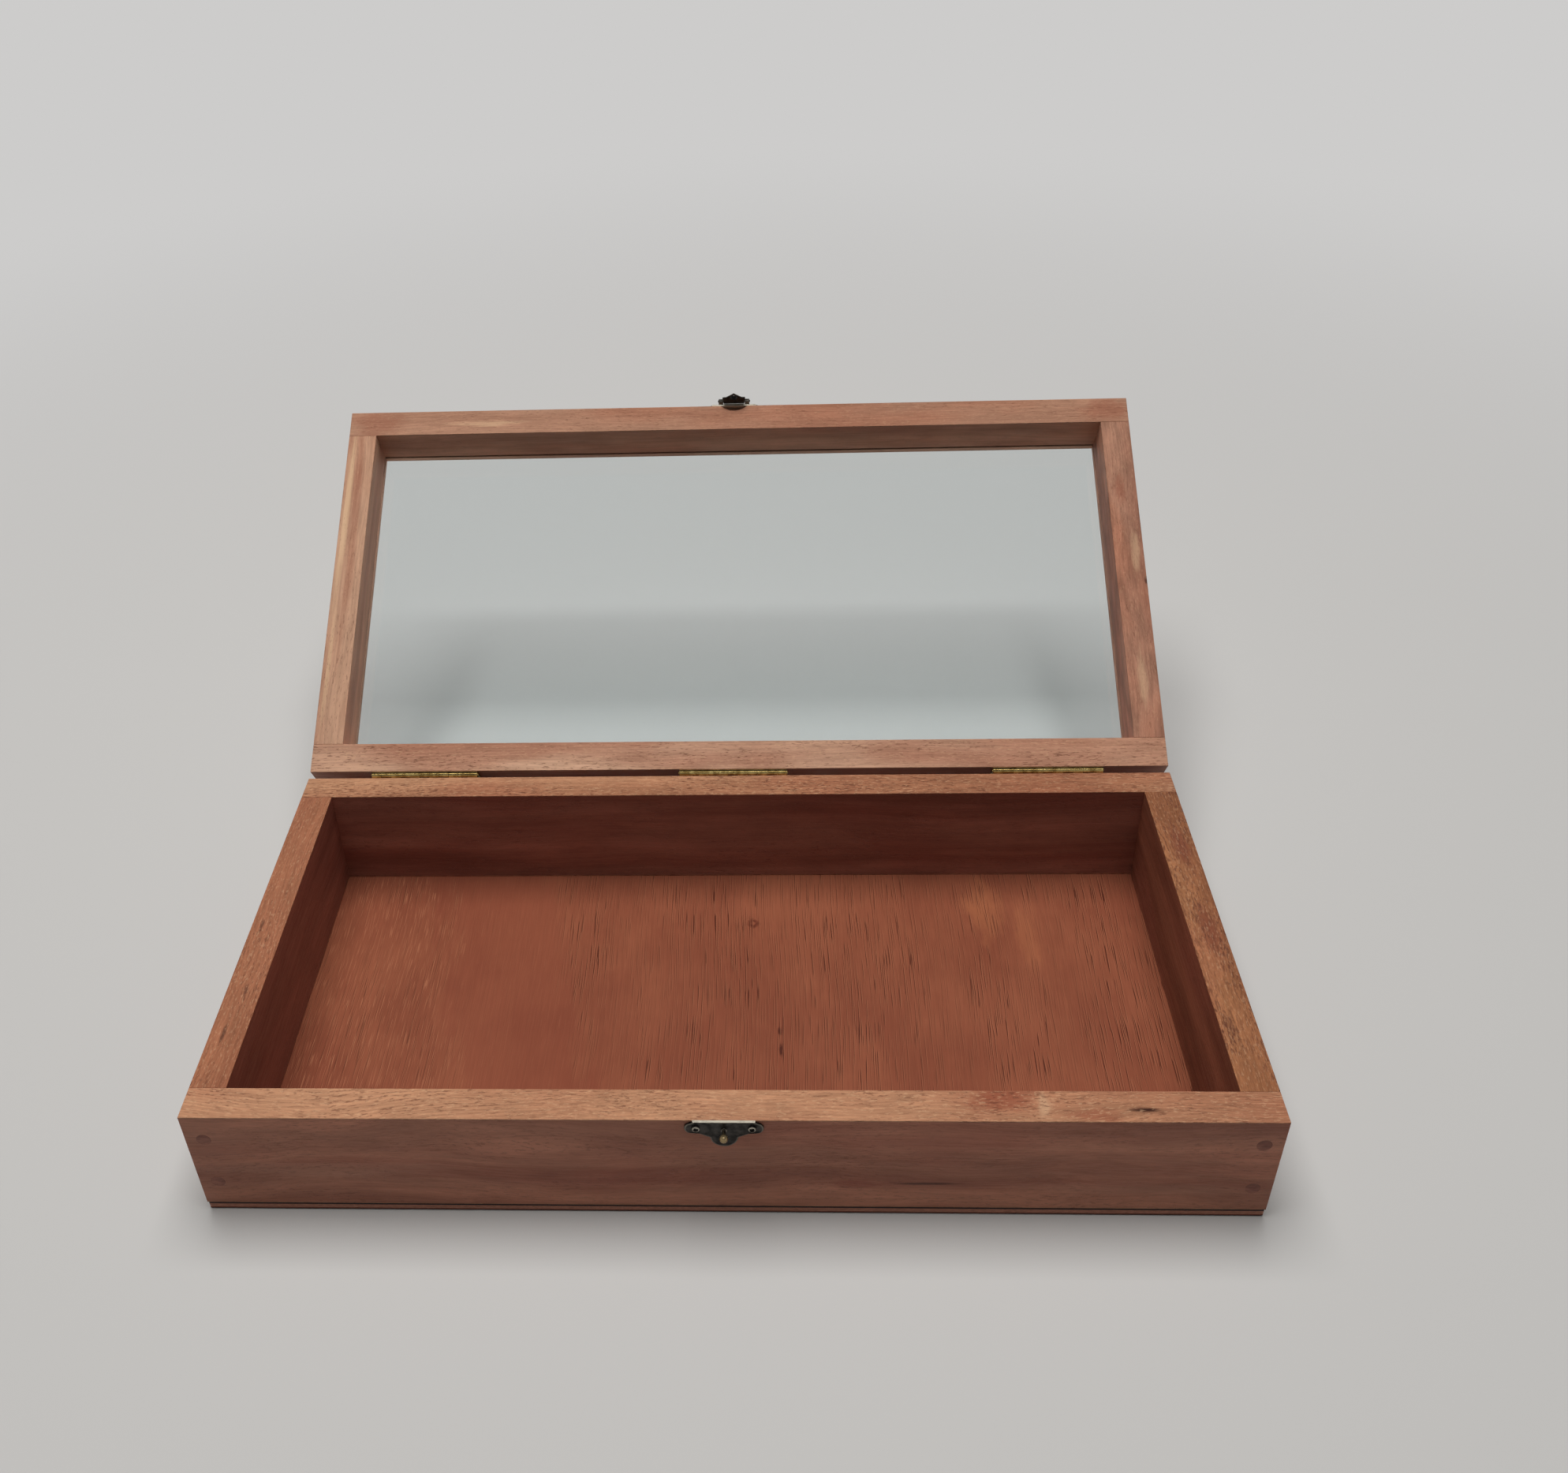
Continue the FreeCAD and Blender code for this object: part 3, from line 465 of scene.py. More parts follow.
def woodFinish(name, own):
    onLid = name.startswith("lid")
    look = {**boardLook, **(lidLook if onLid else caseLook), **own}
    seed, lengthwise = look["seed"], look["along"] == "x"
    flatMiddle = (0, look["across"]) if lengthwise else (look["across"], 0)
    middle = np.array([*flatMiddle, look["height"]])
    finish, tree = newFinish(name + "Wood")
    board, quarter = ownAxes(tree, middle, look["along"], onLid)
    # the grain wanders sideways along the board
    wander = speckle(tree, board, look["wanderNoise"], seed, out=1)
    bent = vectors(tree, "MULTIPLY_ADD", wander, (0, look["wander"], look["wander"]), board)
    # the sawn edges are coarser than the planed faces, and the stain took differently on those
    parts = put(tree, "SeparateXYZ", {0: board}).outputs
    low, high = (look["half"] - depth for depth in look["sawnDepth"])
    sawn = ease(tree, sums(tree, "ABSOLUTE", parts[2]), low, high)
    planed = sums(tree, "SUBTRACT", 1.0, sawn)
    fibres = speckle(tree, bent, look["fibreNoise"], seed)
    coarse = ease(tree, sawn, 0.0, 1.0, look["fibreShare"])
    streaks = ease(tree, fibres, *look["fibreBand"], (-1.0, 1.0))
    colour = ringColour(tree, bent, look)
    colour = shaded(tree, colour, sums(tree, "MULTIPLY_ADD", streaks, coarse, look["fibreLevel"]))
    colour = shaded(tree, colour, figureShade(tree, bent, planed, look))
    colour = stained(tree, colour, board, middle, quarter, look)
    # the inner faces take painted shade on the case and painted light on the lid; the outer faces take a
    # small colour tint
    inward = math.copysign(1, look["across"]) * (-1 if lengthwise else 1)
    edge = look["thick"] / 2 - look["faceDepth"]
    for side, tint in ((inward, look["innerPaintedLight"]), (-inward, look["outerTint"])):
        facing = sums(tree, "GREATER_THAN", sums(tree, "MULTIPLY", parts[1], side), edge)
        colour = blend(tree, sums(tree, "MULTIPLY", planed, facing), colour, tint, "MULTIPLY")
    # open pores, thick in places, and pale flecks
    crowd = ease(tree, speckle(tree, bent, look["crowdNoise"], seed), *look["crowdBand"], look["crowdShare"])
    dashes = speckle(tree, bent, look["poreNoise"], seed)
    pores = ease(tree, dashes, look["poreLow"], look["poreLow"] + look["poreSoft"])
    pores = sums(tree, "MULTIPLY", pores, crowd)
    glints = speckle(tree, bent, look["fleckNoise"], seed)
    flecks = ease(tree, glints, look["fleckLow"], look["fleckLow"] + look["fleckSoft"])
    for spots, kind in ((pores, "pore"), (flecks, "fleck")):
        share = ease(tree, sawn, 0.0, 1.0, look[kind + "Share"])
        colour = blend(tree, sums(tree, "MULTIPLY", spots, share), colour, look[kind])
    rough = ease(tree, fibres, *look["roughBand"], look["rough"])
    sunk = sums(tree, "MULTIPLY", pores, -look["poreDepth"])
    height = sums(tree, "MULTIPLY_ADD", fibres, look["fibreHeight"], sunk)
    showSurface(tree, look, height, {"Base Color": colour, "Roughness": rough,
                                     "Specular IOR Level": look["specular"]})
    return finish


for boardName, own in boards.items():
    dress([boardName], woodFinish(boardName, own))
print("wood:", len(boards), "boards")


# plywood bottom: open-pored face veneers with the grain front to back, a paler core between them
panelLook = {
    "seed": 4.4,
    "light": tone(148, 86, 62),
    "dark": tone(132, 73, 53),
    "wander": 0.016,
    "wanderNoise": ((4, 5, 5), 1.0, 0.5, 0),
    "cloudNoise": ((11, 17, 17), 4.0, 0.6, 1),
    "cloudBand": (0.32, 0.68),
    "fibreNoise": ((30, 900, 900), 3.0, 0.6, 2),
    "fibreBand": (0.28, 0.72),
    "fibreShade": (0.93, 1.06),
    "lean": 0.18,
    "ragged": 0.06,
    "raggedNoise": ((18, 90, 90), 4.0, 0.6, 9),
    "fleckedBand": (-0.160, -0.146),
    "porousBand": (-0.094, -0.076),
    "plain": tone(130, 67, 50),
    "plainShare": 0.4,
    "crowdNoise": ((10, 40, 40), 3.0, 0.5, 3),
    "crowdBand": (0.36, 0.62),
    "crowdShare": (0.3, 1.0),
    "pore": tone(76, 33, 24),
    "poreNoise": ((38, 2100, 2100), 0.0, 0.5, 4),
    "poreBand": (0.61, 0.67),
    "poreShare": (0.12, 0.42, 0.8),  # everywhere, added where flecked, added where porous
    # painted highlight beside each pore, shifted this far across the grain
    "lip": 0.00027,
    "lipBand": (0.61, 0.68),
    "lipShare": 0.55,
    "fleck": tone(184, 120, 88),
    "fleckNoise": ((70, 2100, 2100), 0.0, 0.5, 5),
    "fleckBand": (0.64, 0.72),
    "fleckShare": (0.08, 0.38),  # everywhere, added where flecked
    "core": tone(224, 154, 128),
    "coreLayer": (0.0010, 0.0040),
    "coreNoise": ((500, 500, 2600), 2.0, 0.5, 7),
    "coreBand": (0.3, 0.7),
    "coreShade": (0.75, 1.05),
    # dark joint line: partly glue line, partly painted shadow of the gap under the boards
    "jointLineAndShadow": tone(32, 15, 11),
    "gapDepth": 0.0003,
    "gapEdge": (0.0033, 0.0036),
    "rough": 0.58,
    "specular": 0.3,
    "fibreHeight": 0.4,
    "poreDepth": 0.8,
    "bump": (0.18, 0.0003),
    "marks": [
        ((0.145, 0.080, 0.005), (0.030, 0.012, 0.006), tone(170, 104, 70), 0.6),
        ((0.168, 0.058, 0.005), (0.030, 0.009, 0.006), tone(168, 102, 70), 0.5),
        ((0.0114, 0.0682, 0.005), (0.0046, 0.0040, 0.003), tone(84, 37, 28), 0.85),
        ((0.0114, 0.0682, 0.005), (0.0021, 0.0017, 0.003), tone(150, 86, 62), 0.85),
        ((0.0262, -0.016, 0.005), (0.0034, 0.0013, 0.003), tone(62, 28, 22), 0.9),
        ((0.0268, -0.029, 0.005), (0.0056, 0.0014, 0.003), tone(66, 30, 24), 0.85),
    ],
}


# three zones across the sheet, with ragged leaning borders: flecked, then smooth and redder, then open-pored
def panelZones(tree, sheet, parts, look):
    torn = speckle(tree, sheet, look["raggedNoise"], look["seed"])
    ragged = sums(tree, "MULTIPLY_ADD", torn, look["ragged"], -look["ragged"] / 2)
    across = sums(tree, "SUBTRACT", ragged, parts[1])
    across = sums(tree, "MULTIPLY_ADD", parts[0], look["lean"], across)
    flecked = ease(tree, across, *look["fleckedBand"], (1.0, 0.0))
    porous = ease(tree, across, *look["porousBand"])
    return flecked, porous


# pores are thin dashes, crowded in places, each with a painted highlight on one side, where raised grain
# would catch the light; glints lie among them
def panelPores(tree, bent, flecked, porous, look):
    seed = look["seed"]
    crowd = ease(tree, speckle(tree, bent, look["crowdNoise"], seed), *look["crowdBand"], look["crowdShare"])
    everywhere, inFlecked, inPorous = look["poreShare"]
    zones = sums(tree, "MULTIPLY_ADD", porous, inPorous, everywhere)
    share = sums(tree, "MULTIPLY", crowd, sums(tree, "MULTIPLY_ADD", flecked, inFlecked, zones))
    dashes = ease(tree, speckle(tree, bent, look["poreNoise"], seed), *look["poreBand"])
    beside = vectors(tree, "ADD", bent, (0, look["lip"], 0))
    lips = ease(tree, speckle(tree, beside, look["poreNoise"], seed), *look["lipBand"])
    everywhere, inFlecked = look["fleckShare"]
    glints = ease(tree, speckle(tree, bent, look["fleckNoise"], seed), *look["fleckBand"])
    glints = sums(tree, "MULTIPLY", glints, sums(tree, "MULTIPLY_ADD", flecked, inFlecked, everywhere))
    pale = sums(tree, "MULTIPLY_ADD", lips, sums(tree, "MULTIPLY", share, look["lipShare"]), glints)
    return sums(tree, "MULTIPLY", dashes, share), pale


# on the sides of the sheet the core shows between the two faces, with a dark joint line under the boards,
# partly glue line and partly painted shadow of the gap under their overhang
def panelSides(tree, colour, sheet, parts, look):
    low, high = look["coreLayer"]
    overFoot = sums(tree, "GREATER_THAN", parts[2], low)
    inCore = sums(tree, "MULTIPLY", overFoot, sums(tree, "LESS_THAN", parts[2], high))
    coreGrain = speckle(tree, sheet, look["coreNoise"], look["seed"])
    coreGrain = ease(tree, coreGrain, *look["coreBand"], look["coreShade"])
    colour = blend(tree, inCore, colour, shaded(tree, look["core"], coreGrain))
    halfWide, halfDeep, _ = np.array(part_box("bottom_panel")[1]) - look["gapDepth"]
    onEnds = sums(tree, "GREATER_THAN", sums(tree, "ABSOLUTE", parts[1]), halfWide)
    onLongSides = sums(tree, "GREATER_THAN", sums(tree, "ABSOLUTE", parts[0]), halfDeep)
    outside = sums(tree, "MAXIMUM", onEnds, onLongSides)
    joint = sums(tree, "MULTIPLY", outside, ease(tree, parts[2], *look["gapEdge"]))
    return blend(tree, joint, colour, look["jointLineAndShadow"])


def panelFinish(look):
    finish, tree = newFinish("panelPlywood")
    seed, middle = look["seed"], np.zeros(3)
    sheet, quarter = ownAxes(tree, middle, "y", False)
    parts = put(tree, "SeparateXYZ", {0: sheet}).outputs
    # the grain leans a little this way and that, in long slow waves
    wander = speckle(tree, sheet, look["wanderNoise"], seed, out=1)
    bent = vectors(tree, "MULTIPLY_ADD", wander, (0, look["wander"], 0), sheet)
    clouds = speckle(tree, bent, look["cloudNoise"], seed)
    colour = blend(tree, ease(tree, clouds, *look["cloudBand"]), look["dark"], look["light"])
    fibres = speckle(tree, bent, look["fibreNoise"], seed)
    colour = shaded(tree, colour, ease(tree, fibres, *look["fibreBand"], look["fibreShade"]))
    colour = stained(tree, colour, sheet, middle, quarter, look)
    flecked, porous = panelZones(tree, sheet, parts, look)
    plain = sums(tree, "SUBTRACT", 1.0, sums(tree, "ADD", flecked, porous))
    colour = blend(tree, sums(tree, "MULTIPLY", plain, look["plainShare"]), colour, look["plain"])
    pores, pale = panelPores(tree, bent, flecked, porous, look)
    colour = blend(tree, pale, colour, look["fleck"])
    colour = blend(tree, pores, colour, look["pore"])
    colour = panelSides(tree, colour, sheet, parts, look)
    sunk = sums(tree, "MULTIPLY", pores, -look["poreDepth"])
    height = sums(tree, "MULTIPLY_ADD", fibres, look["fibreHeight"], sunk)
    showSurface(tree, look, height, {"Base Color": colour, "Roughness": look["rough"],
                                     "Specular IOR Level": look["specular"]})
    return finish


dress(["bottom_panel"], panelFinish(panelLook))


# round plugs over the corner screws, redder than the boards
plugLook = {
    "seed": 2.7,
    "light": tone(164, 102, 80),
    "dark": tone(132, 76, 59),
    "cloudNoise": ((90, 160, 160), 2.0, 0.5, 2.4),
    "cloudBand": (0.35, 0.65),
    "grainNoise": ((260, 1400, 1400), 3.0, 0.6, 0),
    "grainBand": (0.3, 0.7),
    "grainShade": (0.78, 1.12),
    "rough": 0.6,
    "bump": (0.3, 0.0002),
}


def plugFinish(look):
    finish, tree = newFinish("plugWood")
    spot = objectSpot(tree)
    clouds = speckle(tree, spot, look["cloudNoise"], look["seed"])
    grain = speckle(tree, spot, look["grainNoise"], look["seed"])
    colour = blend(tree, ease(tree, clouds, *look["cloudBand"]), look["dark"], look["light"])
    colour = shaded(tree, colour, ease(tree, grain, *look["grainBand"], look["grainShade"]))
    showSurface(tree, look, grain, {"Base Color": colour, "Roughness": look["rough"]})
    return finish


dress(["front_plugs", "back_plugs", "lid_front_plugs", "lid_back_plugs"], plugFinish(plugLook))


# metals: a bright tone that tarnishes in clouds, fine scratches, fingerprints in the gloss
metalLook = {
    "cloudNoise": ((240, 240, 240), 4.0, 0.6, 0),
    "cloudBand": (0.35, 0.65),
    "wearAndHighlightBand": (0.25, 0.55),
    "wearAndHighlightShare": (0.75, 1.0),
    "roughNoise": ((420, 420, 420), 3.0, 0.5, 3),
    "roughBand": (0.3, 0.7),
    "scratchNoise": ((150, 5200, 3800), 2.0, 0.5, 5),
    "bump": (0.12, 0.00005),
}
metals = {
    "hingeBrass": {
        "seed": 1.1, "bright": tone(186, 162, 104), "dull": tone(136, 110, 62),
        "rough": (0.17, 0.25), "bump": (0.03, 0.00005),
    },
    "studBrass": {
        "seed": 2.2, "bright": tone(110, 104, 96), "dull": tone(76, 72, 68),
        "rough": (0.2, 0.36), "wearAndHighlight": tone(158, 136, 98), "matt": 0.15,
    },
    "agedBronze": {
        "seed": 3.3, "bright": tone(66, 63, 60), "dull": tone(38, 36, 35),
        "rough": (0.3, 0.5), "wearAndHighlight": tone(226, 216, 196), "matt": 0.6,
    },
    "fastenerSteel": {
        "seed": 4.4, "bright": tone(190, 190, 188), "dull": tone(150, 150, 148),
        "rough": (0.3, 0.45),
    },
}


def metalFinish(name, own):
    look = {**metalLook, **own}
    finish, tree = newFinish(name)
    spot = objectSpot(tree)
    clouds = speckle(tree, spot, look["cloudNoise"], look["seed"])
    colour = blend(tree, ease(tree, clouds, *look["cloudBand"]), look["dull"], look["bright"])
    metallic = 1.0
    # the rubbed pale mark is wear in some places and painted highlight in others (screw heads' rings, the
    # stud's streak, the plates' bright edges and the latch lip): a pale colour, and less metal so the lamp
    # lights it
    if "wearAndHighlight" in look:  # rubbed pale and matt along the edges that the piece marks as worn
        rubbedAndHighlit = put(tree, "Attribute", attribute_name="wearAndHighlight").outputs["Fac"]
        rubbedAndHighlit = sums(tree, "MULTIPLY", rubbedAndHighlit, ease(tree, clouds, *look["wearAndHighlightBand"], look["wearAndHighlightShare"]))
        colour = blend(tree, rubbedAndHighlit, colour, look["wearAndHighlight"])
        metallic = sums(tree, "MULTIPLY_ADD", rubbedAndHighlit, -look["matt"], 1.0)
    prints = speckle(tree, spot, look["roughNoise"], look["seed"])
    rough = ease(tree, prints, *look["roughBand"], look["rough"])
    scratches = speckle(tree, spot, look["scratchNoise"], look["seed"])
    showSurface(tree, look, scratches, {"Base Color": colour, "Roughness": rough, "Metallic": metallic})
    return finish


finishes = {name: metalFinish(name, own) for name, own in metals.items()}
dress([name for name in nodes if "hinge" in name], finishes["hingeBrass"])
dress(["catch_stud"], finishes["studBrass"])
dress(["catch_plate", "catch_screws", "latch_plate", "latch_pin", "latch_screws", "latch_flap"],
      finishes["agedBronze"])
dress(["front_screws", "back_screws", "lid_front_screws", "lid_back_screws", "bottom_brads"],
      finishes["fastenerSteel"])


# float glass, a little green, with faint smears; lamps shine through it
glassLook = {
    "seed": 3.7,
    "tint": tone(243, 249, 250),
    "shadowTint": tone(251, 253, 253),
    "ior": 1.5,
    "smearNoise": ((9, 30, 30), 3.0, 0.6, 0),
    "smearBand": (0.5, 0.75),
    "rough": (0.0, 0.008),
}


def glassFinish(look):
    finish, tree = newFinish("clearGlass")
    smears = speckle(tree, objectSpot(tree), look["smearNoise"], look["seed"])
    rough = ease(tree, smears, *look["smearBand"], look["rough"])
    pane = put(tree, "BsdfPrincipled", {"Base Color": look["tint"], "Roughness": rough, "IOR": look["ior"],
                                        "Transmission Weight": 1.0})
    through = put(tree, "BsdfTransparent", {"Color": look["shadowTint"]})
    isShadow = put(tree, "LightPath").outputs["Is Shadow Ray"]
    show(tree, put(tree, "MixShader", {0: isShadow, 1: pane.outputs[0], 2: through.outputs[0]}))
    return finish


dress(["glass_pane"], glassFinish(glassLook))
print("finishes: panel, plugs, metals, glass")


# small fittings, worked out in millimetres on the front face that they sit on: x across, out from the face,
# and up from the face's foot, which is the rim of the case or the lower edge of the shut lid
faceOut = 128.0
caseFace = {"foot": 67.5, "onLid": False}
lidFace = {"foot": 68.0, "onLid": True}
sharpTurn = math.radians(38)


def onFace(points, face):
    spots = np.stack([points[..., 0], -faceOut - points[..., 1], face["foot"] + points[..., 2]], -1) / 1000
    if not face["onLid"]:
        return spots
    opened = np.array(Matrix.Rotation(-lidTurn, 3, "X"))
    return (spots - hingeLine) @ opened.T + hingeLine


# skin over a stack of closed rings; the end rings are closed by fans,
# or joined to each other where the skin goes round a hole
def skin(rings, wearAndHighlight, joined=False):
    rows, cols = rings.shape[:2]
    index = np.arange(rows * cols).reshape(rows, cols)
    above = np.roll(index, -1, axis=0) if joined else index[1:]
    below = index if joined else index[:-1]
    quads = np.stack([below, np.roll(below, -1, axis=1), np.roll(above, -1, axis=1), above], -1)
    quads = quads.reshape(-1, 4)
    spots, rubbedAndHighlit, fans = rings.reshape(-1, 3), wearAndHighlight.ravel(), np.empty((0, 3), int)
    if not joined:
        spots = np.concatenate([spots, rings[[0, -1]].mean(axis=1)])
        rubbedAndHighlit = np.concatenate([rubbedAndHighlit, wearAndHighlight[[0, -1]].mean(axis=1)])
        first, last = (np.full(cols, rows * cols + k) for k in (0, 1))
        fans = np.concatenate([np.stack([np.roll(index[0], -1), index[0], first], -1),
                               np.stack([index[-1], np.roll(index[-1], -1), last], -1)])
    a, b, c = np.moveaxis(spots[np.concatenate([quads[:, :3], quads[:, [0, 2, 3]], fans])], 1, 0)
    if (a * np.cross(b, c)).sum() < 0:  # signed volume below nought: the skin is inside out
        quads, fans = quads[:, ::-1], fans[:, ::-1]
    return spots, rubbedAndHighlit, quads, fans


# one object from several surfaces on a face, in place of its CAD node
def makeFitting(name, surfaces, face, finish, body, replaced):
    skins = [skin(onFace(rings, face), *rest) for rings, *rest in surfaces]
    starts = np.cumsum([0] + [len(one[0]) for one in skins[:-1]])
    faces = []
    for start, one in zip(starts, skins):
        for part in one[2:]:
            faces += (part + start).tolist()
    mesh = bpy.data.meshes.new(name)
    mesh.from_pydata(np.concatenate([one[0] for one in skins]).tolist(), [], faces)
    wearAndHighlight = np.concatenate([one[1] for one in skins]).astype(np.float32)
    mesh.attributes.new("wearAndHighlight", "FLOAT", "POINT").data.foreach_set("value", wearAndHighlight)
    mesh.shade_smooth()
    mesh.set_sharp_from_angle(angle=sharpTurn)
    mesh.materials.append(finishes[finish])
    piece = bpy.data.objects.new(name, mesh)
    scene.collection.objects.link(piece)
    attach(piece, body)
    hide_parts(*replaced)


# distance that each ray from the middle runs before it leaves a convex outline; nought where it misses
def reachIn(rays, corners):
    sides = np.roll(corners, -1, axis=0) - corners
    outward = np.stack([sides[:, 1], -sides[:, 0]], -1)
    height = (outward * corners).sum(1)
    speed = rays @ outward.T
    least = 1e-9  # a ray along a side never gets there
    speed = np.where(np.abs(speed) < least, least, speed)
    leave = np.where(speed > 0, height / speed, np.inf).min(1)
    enter = np.where(speed < 0, height / speed, -np.inf).max(1)
    return np.where((leave > 0) & (leave > enter), leave, 0)


# the same for a round outline
def reachInRound(rays, middle, radius):
    near = rays @ middle
    room = near ** 2 - middle @ middle + radius ** 2
    far = near + np.sqrt(np.maximum(room, 0))
    return np.where((room > 0) & (far > 0), far, 0)


def raysRound(count):
    turn = np.linspace(0, 2 * math.pi, count, endpoint=False)
    return np.stack([np.cos(turn), np.sin(turn)], -1)


# bell-shaped plate with two ears and a round lobe: the furthest reach over its polygon and circles,
# with a rolled edge; way is -1 where it hangs from its straight edge and 1 where it stands on it
bellPlate = {
    "columns": 640,
    "middle": 5.0,
    "half": (14.5, 13.0, 6.2),
    "drops": (0.0, 7.4, 10.9),
    "lobe": (10.6, 6.4),
    "ears": (14.9, 4.6, 3.4),
    "softening": 5,
    "straightDrop": 0.4,
    "insets": (0.0, 0.0, 0.06, 0.22, 0.5, 0.95, 1.15, 1.4),
    "heights": (0.0, 0.62, 0.9, 1.1, 1.2, 1.2, 1.12, 1.0),
    "field": (0.55, 0.25),
    "leastReach": 0.3,
    "rollInsets": (0.01, 0.6),
    "rollWorn": 0.16,
    "paleEdgeDrop": 0.3,
}


def bellSkin(look, edge, way):
    rays = raysRound(look["columns"])
    middle = np.array([0, -look["middle"]])
    right = np.column_stack([look["half"], -np.array(look["drops"])])
    corners = np.concatenate([right[::-1], right * [-1, 1]]) - middle
    lobeDrop, lobeRadius = look["lobe"]
    earPlace, earDrop, earRadius = look["ears"]
    reach = [reachIn(rays, corners), reachInRound(rays, np.array([0, -lobeDrop]) - middle, lobeRadius)]
    for side in (-1, 1):
        reach.append(reachInRound(rays, np.array([side * earPlace, -earDrop]) - middle, earRadius))
    outline = np.max(reach, axis=0)
    # a short running mean round the outline softens its inner corners, but leaves the straight edge
    steps = range(-look["softening"], look["softening"] + 1)
    softened = np.mean([np.roll(outline, step) for step in steps], axis=0)
    straight = (rays * outline[:, None] + middle)[:, 1] > -look["straightDrop"]
    outline = np.where(straight, outline, softened)
    insets, heights = np.array(look["insets"]), np.array(look["heights"])
    radii = np.maximum(outline[None] - insets[:, None], look["leastReach"])
    radii = np.concatenate([radii, radii[-1:] * np.array(look["field"])[:, None]])
    heights = np.concatenate([heights, np.full(len(look["field"]), heights[-1])])
    flat = radii[..., None] * rays + middle
    out = np.broadcast_to(heights[:, None], radii.shape)
    rings = np.stack([flat[..., 0], out, edge - way * flat[..., 1]], -1)
    low, high = look["rollInsets"]
    wearAndHighlight = np.zeros(radii.shape)
    wearAndHighlight[:len(insets)] = look["rollWorn"] * ((insets > low) & (insets < high))[:, None]
    # the straight edge is painted pale all along: wear, and a painted highlight as well
    onEdge = (flat[..., 1] > -look["paleEdgeDrop"]) & (np.abs(flat[..., 0]) < look["half"][0])
    return rings, np.where(onEdge, 1.0, wearAndHighlight)


# pan heads: a dome of one radius, cut by a cross whose arms fade to its floor
panHead = {
    "columns": 112,
    "rows": 44,
    "place": 12.9,
    "drop": 4.6,
    "radius": 1.86,
    "hub": 0.02,
    "base": 1.0,
    "skirt": 0.2,
    "height": 1.0,
    "domeSpread": 1.02,
    "domePower": 0.8,
    "arm": 0.34,
    "armFade": 0.1,
    "span": 1.3,
    "spanFade": 0.15,
    "sunk": 0.55,
    "wearAndHighlight": 0.6,
    "highlightRing": (0.8, 0.14),
}


def panSkin(look, x, up, turn):
    rays = raysRound(look["columns"])
    across = look["radius"] * np.linspace(1, look["hub"], look["rows"])[:, None, None] * rays
    away = np.linalg.norm(across, axis=-1) / look["radius"]
    dome = look["height"] * np.sqrt(np.maximum(1 - (away / look["domeSpread"]) ** 2, 0)) ** look["domePower"]
    swung = across @ np.array([[math.cos(turn), -math.sin(turn)], [math.sin(turn), math.cos(turn)]])
    near, far = np.moveaxis(np.sort(np.abs(swung), axis=-1), -1, 0)
    acrossArm = np.clip((look["arm"] - near) / look["armFade"], 0, 1)
    inArm = acrossArm * np.clip((look["span"] - far) / look["spanFade"], 0, 1)
    out = look["base"] + look["skirt"] + dome - look["sunk"] * inArm
    rings = np.stack([across[..., 0] + x, out, across[..., 1] + up], -1)
    foot = rings[:1].copy()
    foot[..., 1] = look["base"]
    # painted highlight: a pale ring round the dome, kept out of the cross
    middle, width = look["highlightRing"]
    wearAndHighlight = look["wearAndHighlight"] * np.exp(-((away - middle) / width) ** 2) * (1 - inArm)
    return np.concatenate([foot, rings]), np.concatenate([np.zeros((1, look["columns"])), wearAndHighlight])


# the left head and the right one, each with its cross turned its own way
def headPair(look, up, turns):
    return [panSkin(look, side * look["place"], up, turn) for side, turn in zip((-1, 1), turns)]


# ball stud: a profile of radius and height turned round its post, worn on the ball, with a painted highlight
# along the upper side of its post
ballStud = {
    "columns": 72,
    "rows": 40,
    "drop": 5.6,
    "foot": ((1.5, 1.0), (1.5, 1.32), (1.42, 1.46), (1.28, 1.5), (1.02, 1.56), (0.94, 1.75), (0.92, 2.8)),
    "post": 0.92,
    "ball": 2.05,
    "reach": 6.0,
    "ballEnd": 0.99,
    "ballWorn": 0.9,
    "wornOver": 0.4,
    "streakHighlight": 0.5,
    "streak": (-0.25, 0.3),
    "streakFrom": 1.7,
}


def studSkin(look):
    start = math.asin(look["post"] / look["ball"])
    turn = np.linspace(start, math.pi * look["ballEnd"], look["rows"])
    ballProfile = np.stack([look["ball"] * np.sin(turn), look["reach"] - look["ball"] * np.cos(turn)], -1)
    profile = np.concatenate([look["foot"], ballProfile])
    radius, out = profile[:, :1], profile[:, 1:]
    rays = raysRound(look["columns"])
    flat = radius[..., None] * rays
    rings = np.stack([flat[..., 0], np.broadcast_to(out, flat.shape[:2]), flat[..., 1] - look["drop"]], -1)
    onBall = np.clip((out - look["reach"] + look["ball"]) / look["wornOver"], 0, 1)
    # painted highlight: a pale streak along the upper side of the post
    middle, width = look["streak"]
    streak = np.exp(-((rays[:, 0] - middle) / width) ** 2) * (rays[:, 1] > 0) * (out > look["streakFrom"])
    return rings, np.maximum(look["ballWorn"] * onBall, look["streakHighlight"] * streak)


# sheet-metal strap: a rounded rectangle carried along a path of out and up
strapEdge = {"corner": 0.12, "points": 4, "wornDepth": 0.06, "wearAndHighlight": 0.1}


